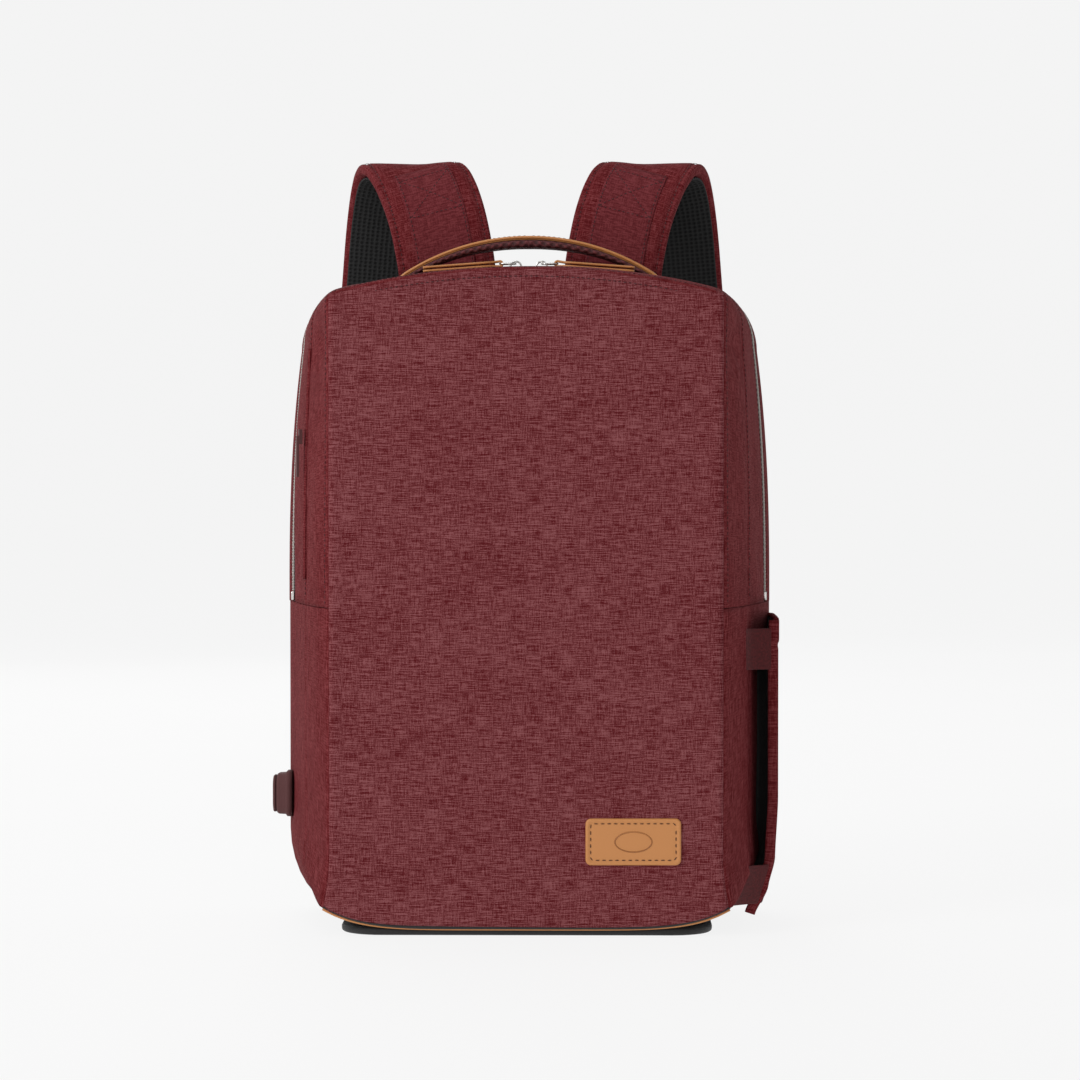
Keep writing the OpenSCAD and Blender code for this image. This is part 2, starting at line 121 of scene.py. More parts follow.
def lay_uv(bm: bmesh.types.BMesh, grid: list[list[bmesh.types.BMVert]], closed: bool) -> None:
    """Writes a UV map in metres along a lofted grid.

    Args:
        bm: the lofted mesh.
        grid: its vertices, one list for each ring.
        closed: whether each ring joins up with its own start.
    """
    middle = grid[len(grid) // 2]
    across = [0.0]
    for a, b in zip(middle, middle[1:] + middle[:1]):
        across.append(across[-1] + (b.co - a.co).length)
    along = [0.0]
    for a, b in zip(grid, grid[1:]):
        along.append(along[-1] + sum((q.co - p.co).length for p, q in zip(a, b)) / len(a))
    place = {v: (r, i) for r, ring in enumerate(grid) for i, v in enumerate(ring)}
    layer = bm.loops.layers.uv.verify()
    last = len(middle) - 1
    for face in bm.faces:
        spots = [place[loop.vert] for loop in face.loops]
        wraps = closed and any(i == last for _, i in spots) and any(i == 0 for _, i in spots)
        for loop, (r, i) in zip(face.loops, spots):
            u = across[last + 1] if wraps and i == 0 else across[i]
            loop[layer].uv = (u, along[r])


def loft(rings: Sequence[Points], closed: bool = True) -> bmesh.types.BMesh:
    """Skins a row of rings that have the same number of points.

    Args:
        rings: the rings, from one end to the other.
        closed: whether each ring joins up with its own start.

    Returns:
        A mesh with a UV map in metres: U runs round the rings and V along them.
    """
    bm = bmesh.new()
    verts = [bm.verts.new(p) for p in rings[0]]
    ends = verts[1:] + (verts[:1] if closed else [])
    edges = [bm.edges.new(pair) for pair in zip(verts, ends)]
    grid = [verts]
    for ring in rings[1:]:
        grown = set(bmesh.ops.extrude_edge_only(bm, edges=edges)["geom"])
        fresh = []
        for old, spot in zip(grid[-1], ring):
            new = next(e.other_vert(old) for e in old.link_edges if e.other_vert(old) in grown)
            new.co = spot
            fresh.append(new)
        edges = [e for e in grown if isinstance(e, bmesh.types.BMEdge)
                 and all(v in grown for v in e.verts)]
        grid.append(fresh)
    lay_uv(bm, grid, closed)
    return bm


def close_ends(bm: bmesh.types.BMesh) -> None:
    """Fills the open ends of a tube-like mesh."""
    rim = [e for e in bm.edges if e.is_boundary]
    bmesh.ops.holes_fill(bm, edges=rim, sides=0)


def turn_out(bm: bmesh.types.BMesh, centre: Vector | None = None) -> None:
    """Points all faces outwards: as a closed solid, or away from a centre on an open sheet.

    Args:
        bm: the mesh.
        centre: a point behind an open sheet, or None for a closed solid.
    """
    bmesh.ops.recalc_face_normals(bm, faces=bm.faces)
    if centre is None:
        return
    bm.normal_update()
    facing = sum(f.normal.dot(f.calc_center_median() - centre) * f.calc_area() for f in bm.faces)
    if facing < 0:
        bmesh.ops.reverse_faces(bm, faces=bm.faces)


def keep_side(bm: bmesh.types.BMesh, point: Vector, normal: Vector) -> None:
    """Cuts a mesh with a plane and keeps the part that the normal points into."""
    everything = [*bm.verts, *bm.edges, *bm.faces]
    bmesh.ops.bisect_plane(bm, geom=everything, dist=1e-6, plane_co=point, plane_no=normal,
                           clear_inner=True)


def curve_through(route: Points, steps: int) -> list[Vector]:
    """Smooth line through the points of a route, with that many steps between two of them."""
    line = []
    last = len(route) - 1
    for i in range(last):
        a, b = route[max(0, i - 1)], route[i]
        c, d = route[i + 1], route[min(last, i + 2)]
        for s in range(steps):
            t = s / steps
            line.append(0.5 * (2 * b + (c - a) * t + (2 * a - 5 * b + 4 * c - d) * t * t
                               + (3 * b - a - 3 * c + d) * t ** 3))
    line.append(route[last].copy())
    return line


def band_rings(line: Points, section: Callable[[int], Sequence[tuple[float, float]]],
               across: Vector = Vector((1, 0, 0))) -> list[list[Vector]]:
    """Rings of a flat band that follows a line.

    Args:
        line: the middle line.
        section: gives the outline at one of the line's points, as places across and out.
        across: the direction that the band's width keeps to.

    Returns:
        One ring of points for each point of the line.
    """
    rings = []
    last = len(line) - 1
    for i, spot in enumerate(line):
        run = (line[min(last, i + 1)] - line[max(0, i - 1)]).normalized()
        wide = (across - across.dot(run) * run).normalized()
        out = wide.cross(run)
        rings.append([spot + wide * a + out * n for a, n in section(i)])
    return rings


def pad_section(width: float, low: float, high: float, power: float = 3.5,
                points: int = 40) -> list[tuple[float, float]]:
    """Rounded outline of a flat pad, from its middle line's side to side.

    Args:
        width: the full width.
        low: the lower face's height.
        high: the upper face's height.
        power: how square the outline is.
        points: how many points it has.

    Returns:
        Places across and out, counter-clockwise.
    """
    outline = []
    for i in range(points):
        a = 2 * math.pi * i / points
        c, s = math.cos(a), math.sin(a)
        x = math.copysign(abs(c) ** (2 / power), c) * width / 2
        n = math.copysign(abs(s) ** (2 / power), s) * (high - low) / 2 + (high + low) / 2
        outline.append((x, n))
    return outline


def add_box(bm: bmesh.types.BMesh, low: Vector, high: Vector, round_by: float = 0.0,
            segments: int = 2) -> list[bmesh.types.BMVert]:
    """Adds a box with rounded edges to a mesh and returns its first eight vertices' box."""
    place = Matrix.Translation((low + high) / 2) @ Matrix.Diagonal((*(high - low), 1))
    made = bmesh.ops.create_cube(bm, size=1, matrix=place)["verts"]
    if round_by:
        edges = list({e for v in made for e in v.link_edges})
        bmesh.ops.bevel(bm, geom=edges, offset=round_by, segments=segments, profile=0.5,
                        affect="EDGES", material=-1, clamp_overlap=True)
    return made


def box_uv(bm: bmesh.types.BMesh) -> None:
    """Writes a UV map in metres that looks at each face from its flattest side."""
    bm.normal_update()
    layer = bm.loops.layers.uv.verify()
    for face in bm.faces:
        n = [abs(c) for c in face.normal]
        flat = n.index(max(n))
        u, v = ((1, 2), (0, 2), (0, 1))[flat]
        for loop in face.loops:
            loop[layer].uv = (loop.vert.co[u], loop.vert.co[v])


def rounded_plate(width: float, height: float, corner: float, steps: int = 6) -> list[Vector]:
    """Outline of a flat plate with round corners, centred on the origin, in X and Z."""
    outline = []
    for sx, sz, start in ((1, 1, 0), (-1, 1, 90), (-1, -1, 180), (1, -1, 270)):
        for i in range(steps + 1):
            a = math.radians(start + 90 * i / steps)
            outline.append(Vector((sx * (width / 2 - corner) + corner * math.cos(a), 0,
                                   sz * (height / 2 - corner) + corner * math.sin(a))))
    return outline


def stitch_line(points: Points, pitch: float = 3.0 * MM, length: float = 2.1 * MM,
                radius: float = 0.28 * MM) -> bmesh.types.BMesh:
    """Row of short sewn stitches along a line.

    Args:
        points: the line, on the cloth's surface.
        pitch: the distance from stitch to stitch.
        length: the length of one stitch.
        radius: half the thread's thickness.

    Returns:
        A mesh of small rounded stitches.
    """
    bm = bmesh.new()
    carry = pitch / 2
    for a, b in zip(points, points[1:]):
        run = b - a
        span = run.length
        while carry < span and span > 0:
            place = Matrix.Translation(a + run * (carry / span)) @ run.to_track_quat("X", "Z").to_matrix().to_4x4()
            stretch = Matrix.Diagonal((length / 2 / radius, 1.0, 1.0, 1))
            bmesh.ops.create_icosphere(bm, subdivisions=1, radius=radius, matrix=place @ stretch)
            carry += pitch
        carry -= span
    return bm


def at(x: float, y: float, z: float) -> Vector:
    """Point given in millimetres."""
    return Vector((x, y, z)) * MM


def mirrored(bm: bmesh.types.BMesh, side: Side) -> bmesh.types.BMesh:
    """Turns a right-hand mesh into a left-hand one where the side asks for it."""
    if side is Side.LEFT:
        bmesh.ops.scale(bm, vec=(-1, 1, 1), verts=bm.verts)
        bmesh.ops.reverse_faces(bm, faces=bm.faces)
    return bm


def tube(line: Points, radius: float, normal: Vector, closed: bool = False,
         points: int = 10) -> bmesh.types.BMesh:
    """Round cord or wire along a line, closed on itself or capped.

    Args:
        line: its middle line.
        radius: half its thickness.
        normal: a direction across the line that it never runs along.
        closed: whether its end joins its start.
        points: how many sides it has.

    Returns:
        The wire's mesh.
    """
    path = [*line, line[0], line[1]] if closed else list(line)
    circle = pad_section(2 * radius, -radius, radius, 2, points)
    rings = band_rings(path, lambda i: circle, normal)
    if closed:
        rings = [*rings[1:-1], rings[1]]
    bm = loft(rings)
    if closed:
        bmesh.ops.remove_doubles(bm, verts=bm.verts, dist=1e-6)
    else:
        close_ends(bm)
    turn_out(bm)
    return bm


def ribbon(line: Points, section: Callable[[int], Sequence[tuple[float, float]]],
           across: Vector = Vector((1, 0, 0))) -> bmesh.types.BMesh:
    """Closed band along a line, with flat ends."""
    bm = loft(band_rings(line, section, across))
    close_ends(bm)
    turn_out(bm)
    return bm


def band_line(line: Points, x: float, out: float, across: Vector = Vector((1, 0, 0))) -> list[Vector]:
    """Line that keeps to one place across a band."""
    return [ring[0] for ring in band_rings(line, lambda i: [(x, out)], across)]


def walk(line: Points, pitch: float, start: float = 0.0) -> list[tuple[Vector, Vector]]:
    """Places at even steps along a line, each with the direction there."""
    places = []
    carry = start
    for a, b in zip(line, line[1:]):
        span = (b - a).length
        while carry < span:
            places.append((a.lerp(b, carry / span), (b - a).normalized()))
            carry += pitch
        carry -= span
    return places


def arc_points(centre: Vector, radius: float, start: float, end: float, steps: int) -> list[Vector]:
    """Points on an arc in the XZ plane, between two angles in degrees."""
    spots = []
    for i in range(steps + 1):
        a = math.radians(mix(start, end, i / steps))
        spots.append(centre + Vector((math.cos(a), 0, math.sin(a))) * radius)
    return spots


def sheet_of(piece: bpy.types.Object, cut: tuple[float, float]) -> None:
    """Logs the size that a sewn sheet is cut to before it is sewn, in metres.

    Args:
        piece: the sheet.
        cut: its width and length, worked out from the pattern and not from the piece.
    """
    log.info("sheet %s is cut %.0f by %.0f mm", piece.name, cut[0] * 1000, cut[1] * 1000)


# ---- Finishes ----


class Shader:
    """Adds and joins the nodes of one material."""

    def __init__(self, name: str) -> None:
        """Starts a material with a principled shader.

        Args:
            name: the material's name.
        """
        self.material = bpy.data.materials.new(name)
        self.material.use_nodes = True
        self.tree = self.material.node_tree
        self.skin = self.tree.nodes["Principled BSDF"]
        self.coords = self.tree.nodes.new("ShaderNodeTexCoord")

    def node(self, kind: str, **values: object) -> bpy.types.Node:
        """Adds a node: names in capitals are its options, and the others its inputs."""
        made = self.tree.nodes.new(kind)
        for key, value in values.items():
            if key.isupper():
                setattr(made, key.lower(), value)
            else:
                made.inputs[key.replace("_", " ")].default_value = value
        return made

    def join(self, source: bpy.types.NodeSocket, target: bpy.types.NodeSocket) -> None:
        """Links an output to an input."""
        self.tree.links.new(source, target)

    def mapped(self, scale: tuple[float, float, float], coords: str = "UV",
               turn: float = 0.0) -> bpy.types.NodeSocket:
        """Coordinates in metres, scaled, and turned by an angle in radians."""
        mapping = self.node("ShaderNodeMapping", Scale=scale, Rotation=(0, 0, turn))
        self.join(self.coords.outputs[coords], mapping.inputs["Vector"])
        return mapping.outputs["Vector"]

    def speckle(self, scale: tuple[float, float, float], detail: float = 2.0,
                coords: str = "UV") -> bpy.types.NodeSocket:
        """Noise whose grains measure one over the scale, in metres."""
        made = self.node("ShaderNodeTexNoise", Scale=1.0, Detail=detail, Roughness=0.6)
        self.join(self.mapped(scale, coords), made.inputs["Vector"])
        return made.outputs["Fac"]

    def math(self, operation: str, a: object, b: object = 0.0) -> bpy.types.NodeSocket:
        """Result of a math node on two sockets or numbers."""
        made = self.node("ShaderNodeMath", OPERATION=operation)
        for value, socket in zip((a, b), made.inputs):
            if isinstance(value, bpy.types.NodeSocket):
                self.join(value, socket)
            else:
                socket.default_value = value
        return made.outputs[0]

    def ramp(self, source: bpy.types.NodeSocket,
             stops: Sequence[tuple[float, tuple[float, float, float]]]) -> bpy.types.NodeSocket:
        """Colour ramp through the given stops."""
        made = self.node("ShaderNodeValToRGB")
        elements = made.color_ramp.elements
        while len(elements) < len(stops):
            elements.new(0.5)
        for element, (place, colour) in zip(elements, stops):
            element.position = place
            element.color = (*colour, 1)
        self.join(source, made.inputs["Fac"])
        return made.outputs["Color"]

    def bump(self, height: bpy.types.NodeSocket, strength: float, distance: float) -> None:
        """Presses a height pattern into the shader's normal."""
        made = self.node("ShaderNodeBump", Strength=strength, Distance=distance)
        self.join(height, made.inputs["Height"])
        self.join(made.outputs["Normal"], self.skin.inputs["Normal"])

    def grid_wave(self, pitch: float, coords: str = "UV", turn: float = 0.0) -> bpy.types.NodeSocket:
        """Over-and-under pattern of a plain weave with that thread pitch in metres."""
        split = self.node("ShaderNodeSeparateXYZ")
        rate = 2 * math.pi / pitch
        self.join(self.mapped((rate, rate, rate), coords, turn), split.inputs[0])
        along = self.math("SINE", split.outputs[0])
        across = self.math("SINE", split.outputs[1])
        return self.math("MULTIPLY", along, across)


@dataclass(frozen=True)
class Finish:
    """One finish of the pack; its material is made once and shared."""

    name: str

    def material(self) -> bpy.types.Material:
        """The finish's material, made at its first use."""
        return bpy.data.materials.get(self.name) or self.mix_material()

    def mix_material(self) -> bpy.types.Material:
        """Builds the material."""
        raise NotImplementedError


@dataclass(frozen=True)
class HeatherCloth(Finish):
    """Heathered weave with long slubs that run along the cloth's U direction."""

    dark: tuple[float, float, float]
    middle: tuple[float, float, float]
    light: tuple[float, float, float]
    slub_length: float = 10 * MM
    slub_height: float = 0.5 * MM
    pitch: float = 0.85 * MM

    def mix_material(self) -> bpy.types.Material:
        """Builds the material."""
        s = Shader(self.name)
        slubs = s.speckle((1 / self.slub_length, 1 / self.slub_height, 1), 3)
        threads = s.speckle((1 / (0.75 * MM), 1 / (7 * MM), 1), 2)
        grains = s.speckle((1 / (0.7 * MM), 1 / (0.7 * MM), 1), 1)
        clouds = s.speckle((1 / (70 * MM), 1 / (26 * MM), 1), 2)
        weave = s.grid_wave(self.pitch)
        tone = s.math("ADD", s.math("MULTIPLY", slubs, 0.50), s.math("MULTIPLY", threads, 0.24))
        tone = s.math("ADD", tone, s.math("MULTIPLY", grains, 0.19))
        tone = s.math("ADD", tone, s.math("MULTIPLY", clouds, 0.07))
        tone = s.math("ADD", tone, s.math("MULTIPLY", weave, 0.02))
        colour = s.ramp(tone, ((0.44, self.dark), (0.50, self.middle), (0.56, self.light)))
        s.join(colour, s.skin.inputs["Base Color"])
        height = s.math("ADD", s.math("MULTIPLY", weave, 0.25), s.math("ADD", slubs, threads))
        s.bump(height, 0.55, 0.35 * MM)
        s.skin.inputs["Roughness"].default_value = 0.9
        s.skin.inputs["Specular IOR Level"].default_value = 0.08
        return s.material


@dataclass(frozen=True)
class PlainWeave(Finish):
    """Plain woven cloth, tape or elastic in one shade."""

    colour: tuple[float, float, float]
    pitch: float = 0.7 * MM
    roughness: float = 0.8
    turn: float = 0.0
    depth: float = 0.25 * MM

    def mix_material(self) -> bpy.types.Material:
        """Builds the material."""
        s = Shader(self.name)
        weave = s.grid_wave(self.pitch, turn=self.turn)
        fuzz = s.speckle((1 / (1.4 * MM),) * 3, 3)
        tone = s.math("ADD", s.math("MULTIPLY", weave, 0.12), fuzz)
        low = tuple(c * 0.62 for c in self.colour)
        high = tuple(min(1.0, c * 1.5) for c in self.colour)
        s.join(s.ramp(tone, ((0.32, low), (0.5, self.colour), (0.72, high))), s.skin.inputs["Base Color"])
        s.bump(s.math("ADD", weave, fuzz), 0.5, self.depth)
        s.skin.inputs["Roughness"].default_value = self.roughness
        s.skin.inputs["Specular IOR Level"].default_value = 0.3
        s.skin.inputs["Sheen Weight"].default_value = 0.08
        return s.material


@dataclass(frozen=True)
class SpacerMesh(Finish):
    """Knitted spacer mesh with small round openings."""

    colour: tuple[float, float, float]
    cell: float = 3.2 * MM

    def mix_material(self) -> bpy.types.Material:
        """Builds the material."""
        s = Shader(self.name)
        cells = s.node("ShaderNodeTexVoronoi", VORONOI_DIMENSIONS="2D", Scale=1.0, Randomness=0.12)
        s.join(s.mapped((1 / self.cell, 1 / (self.cell * 0.8), 1)), cells.inputs["Vector"])
        rim = cells.outputs["Distance"]
        # The openings in the middle of each cell are painted darker than the threads round them: painted shade
        # inside the holes.
        dark = tuple(c * 0.25 for c in self.colour)
        light = tuple(c * 2.0 for c in self.colour)
        s.join(s.ramp(rim, ((0.22, dark), (0.36, self.colour), (0.7, light))), s.skin.inputs["Base Color"])
        s.bump(s.math("MINIMUM", rim, 0.5), 0.9, 1.2 * MM)
        s.skin.inputs["Roughness"].default_value = 0.75
        s.skin.inputs["Specular IOR Level"].default_value = 0.25
        return s.material


@dataclass(frozen=True)
class Leather(Finish):
    """Smooth leather with fine pores and a slight change of shade."""

    colour: tuple[float, float, float]
    roughness: float = 0.48

    def mix_material(self) -> bpy.types.Material:
        """Builds the material."""
        s = Shader(self.name)
        shade = s.speckle((1 / (14 * MM),) * 3, 3, "Object")
        pores = s.node("ShaderNodeTexVoronoi", Scale=1.0)
        s.join(s.mapped((1 / (0.9 * MM),) * 3, "Object"), pores.inputs["Vector"])
        grain = s.speckle((1 / (0.5 * MM),) * 3, 2, "Object")
        low = (self.colour[0] * 0.80, self.colour[1] * 0.74, self.colour[2] * 0.66)
        high = (min(1, self.colour[0] * 1.14), self.colour[1] * 1.14, self.colour[2] * 1.16)
        tone = s.math("ADD", s.math("MULTIPLY", shade, 0.75), s.math("MULTIPLY", grain, 0.25))
        s.join(s.ramp(tone, ((0.36, low), (0.5, self.colour), (0.66, high))), s.skin.inputs["Base Color"])
        s.bump(s.math("ADD", pores.outputs["Distance"], grain), 0.22, 0.2 * MM)
        wear = s.math("ADD", s.math("MULTIPLY", shade, 0.25), self.roughness - 0.12)
        s.join(wear, s.skin.inputs["Roughness"])
        s.skin.inputs["Specular IOR Level"].default_value = 0.4
        return s.material


@dataclass(frozen=True)
class Polished(Finish):
    """Plated or bare metal with faint wear."""

    colour: tuple[float, float, float]
    roughness: float = 0.22

    def mix_material(self) -> bpy.types.Material:
        """Builds the material."""
        s = Shader(self.name)
        wear = s.speckle((1 / (3 * MM),) * 3, 3, "Object")
        s.join(s.math("ADD", s.math("MULTIPLY", wear, 0.22), self.roughness - 0.1), s.skin.inputs["Roughness"])
        low = tuple(c * 0.86 for c in self.colour)
        s.join(s.ramp(wear, ((0.35, low), (0.6, self.colour))), s.skin.inputs["Base Color"])
        s.bump(wear, 0.05, 0.1 * MM)
        s.skin.inputs["Metallic"].default_value = 1.0
        return s.material


@dataclass(frozen=True)
class Moulded(Finish):
    """Moulded plastic or rubber with a fine spark texture."""

    colour: tuple[float, float, float]
    roughness: float = 0.5

    def mix_material(self) -> bpy.types.Material:
        """Builds the material."""
        s = Shader(self.name)
        spark = s.speckle((1 / (0.45 * MM),) * 3, 2, "Object")
        cloud = s.speckle((1 / (9 * MM),) * 3, 2, "Object")
        low = tuple(c * 0.8 for c in self.colour)
        high = tuple(min(1.0, c * 1.2) for c in self.colour)
        s.join(s.ramp(cloud, ((0.35, low), (0.65, high))), s.skin.inputs["Base Color"])
        s.bump(spark, 0.2, 0.15 * MM)
        s.skin.inputs["Roughness"].default_value = self.roughness
        return s.material


@dataclass(frozen=True)
class Ribbed(Finish):
    """Webbing with close ribs across its run."""

    colour: tuple[float, float, float]
    pitch: float = 1.6 * MM
    turn: float = 0.0

    def mix_material(self) -> bpy.types.Material:
        """Builds the material."""
        s = Shader(self.name)
        split = s.node("ShaderNodeSeparateXYZ")
        rate = 2 * math.pi / self.pitch
        s.join(s.mapped((rate, rate, rate), turn=self.turn), split.inputs[0])
        ribs = s.math("SINE", split.outputs[1])
        cords = s.math("SINE", s.math("MULTIPLY", split.outputs[0], 0.8))
        fuzz = s.speckle((1 / (0.8 * MM),) * 3, 2)
        tone = s.math("ADD", s.math("MULTIPLY", s.math("ADD", ribs, cords), 0.11), fuzz)
        low = tuple(c * 0.45 for c in self.colour)
        high = tuple(min(1.0, c * 1.7) for c in self.colour)
        s.join(s.ramp(tone, ((0.3, low), (0.52, self.colour), (0.75, high))), s.skin.inputs["Base Color"])
        s.bump(s.math("ADD", s.math("MULTIPLY", ribs, 0.7), cords), 0.8, 0.35 * MM)
        s.skin.inputs["Roughness"].default_value = 0.7
        s.skin.inputs["Specular IOR Level"].default_value = 0.3
        return s.material


BURGUNDY = HeatherCloth("burgundy_heather", (0.084, 0.0065, 0.0090), (0.148, 0.0320, 0.0360),
                        (0.232, 0.0740, 0.0800))
# The same heather cloth as the front panel, made darker and redder: painted shade for the walls, strap pads and side
# pocket, which turn away from the key light.
HEATHER_PAINTED_SHADE = HeatherCloth("burgundy_gusset", (0.076, 0.0036, 0.0052), (0.126, 0.0150, 0.0176), (0.192, 0.0400, 0.0440),
                      10 * MM, 0.5 * MM)
STRIP_CLOTH = HeatherCloth("burgundy_strip", (0.095, 0.013, 0.016), (0.130, 0.021, 0.025), (0.17, 0.033, 0.038),
                           6 * MM, 1.2 * MM, 0.9 * MM)
TAN = Leather("tan_leather", (0.46, 0.180, 0.036))
TAN_EDGE = Leather("tan_leather_edge", (0.30, 0.115, 0.028), 0.6)
EMBOSS = Leather("embossed_leather", (0.33, 0.125, 0.032), 0.5)
SPACER = SpacerMesh("black_spacer_mesh", (0.010, 0.010, 0.010))
FINE_MESH = SpacerMesh("black_pocket_mesh", (0.018, 0.018, 0.019), 2.0 * MM)
LINING = PlainWeave("black_lining", (0.022, 0.022, 0.024), 0.5 * MM, 0.6)
BASE_CLOTH = PlainWeave("black_base_cloth", (0.012, 0.0115, 0.0115), 1.1 * MM, 0.55)
ELASTIC = PlainWeave("black_elastic", (0.008, 0.007, 0.007), 1.3 * MM, 0.85)
ZIP_TAPE = PlainWeave("black_zip_tape", (0.010, 0.010, 0.010), 0.8 * MM, 0.75)
BINDING = PlainWeave("burgundy_binding", (0.085, 0.019, 0.022), 0.8 * MM, 0.8)
TAB_CLOTH = PlainWeave("burgundy_tab", (0.074, 0.0065, 0.0080), 0.8 * MM, 0.8)
WEBBING = Ribbed("burgundy_webbing", (0.060, 0.0135, 0.016))
HANDLE_CORD = Ribbed("handle_webbing", (0.085, 0.018, 0.020), 3.4 * MM, 0.8)
NICKEL = Polished("nickel_plate", (0.72, 0.71, 0.69))
COIL = Polished("zip_coil", (0.60, 0.57, 0.52), 0.32)
ACETAL = Moulded("black_acetal", (0.014, 0.014, 0.014), 0.42)
SHEET_PLASTIC = Moulded("sheet_plastic", (0.42, 0.42, 0.42), 0.5)
PORT_RUBBER = Moulded("port_rubber", (0.085, 0.020, 0.023), 0.62)
BROWN_THREAD = PlainWeave("brown_thread", (0.075, 0.024, 0.008), 0.4 * MM, 0.7)
DARK_THREAD = PlainWeave("burgundy_thread", (0.050, 0.010, 0.012), 0.4 * MM, 0.7)


def hand_over(name: str, bm: bmesh.types.BMesh, finish: Finish, body: str,
              replaces: Sequence[str] = ()) -> bpy.types.Object:
    """Turns a mesh into a finished piece that rides on a body.

    Args:
        name: the piece's name.
        bm: its mesh, which is freed.
        finish: what it is made of.
        body: the body it rides on, or an empty string for a piece that rides on none.
        replaces: the CAD nodes that it stands for.

    Returns:
        The piece.
    """
    if not bm.loops.layers.uv:
        box_uv(bm)
    mesh = bpy.data.meshes.new(name)
    bm.to_mesh(mesh)
    bm.free()
    for polygon in mesh.polygons:
        polygon.use_smooth = True
    mesh.materials.append(finish.material())
    piece = bpy.data.objects.new(name, mesh)
    bpy.context.scene.collection.objects.link(piece)
    if body:
        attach(piece, body)
    if replaces:
        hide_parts(*replaces)
    log.info("made %s with %d faces", name, len(mesh.polygons))
    return piece


def wall_of(piece: bpy.types.Object, thickness: float, lining: Finish | None = None) -> bpy.types.Object:
    """Gives a sheet its thickness on the inside, with a lining if there is one."""
    if lining:
        piece.data.materials.append(lining.material())
    made = piece.modifiers.new("wall", "SOLIDIFY")
    made.thickness = thickness
    made.offset = -1
    made.use_even_offset = True
    if lining:
        made.material_offset = 1
        made.material_offset_rim = 0
    return piece


# ---- Shape of the sewn body ----


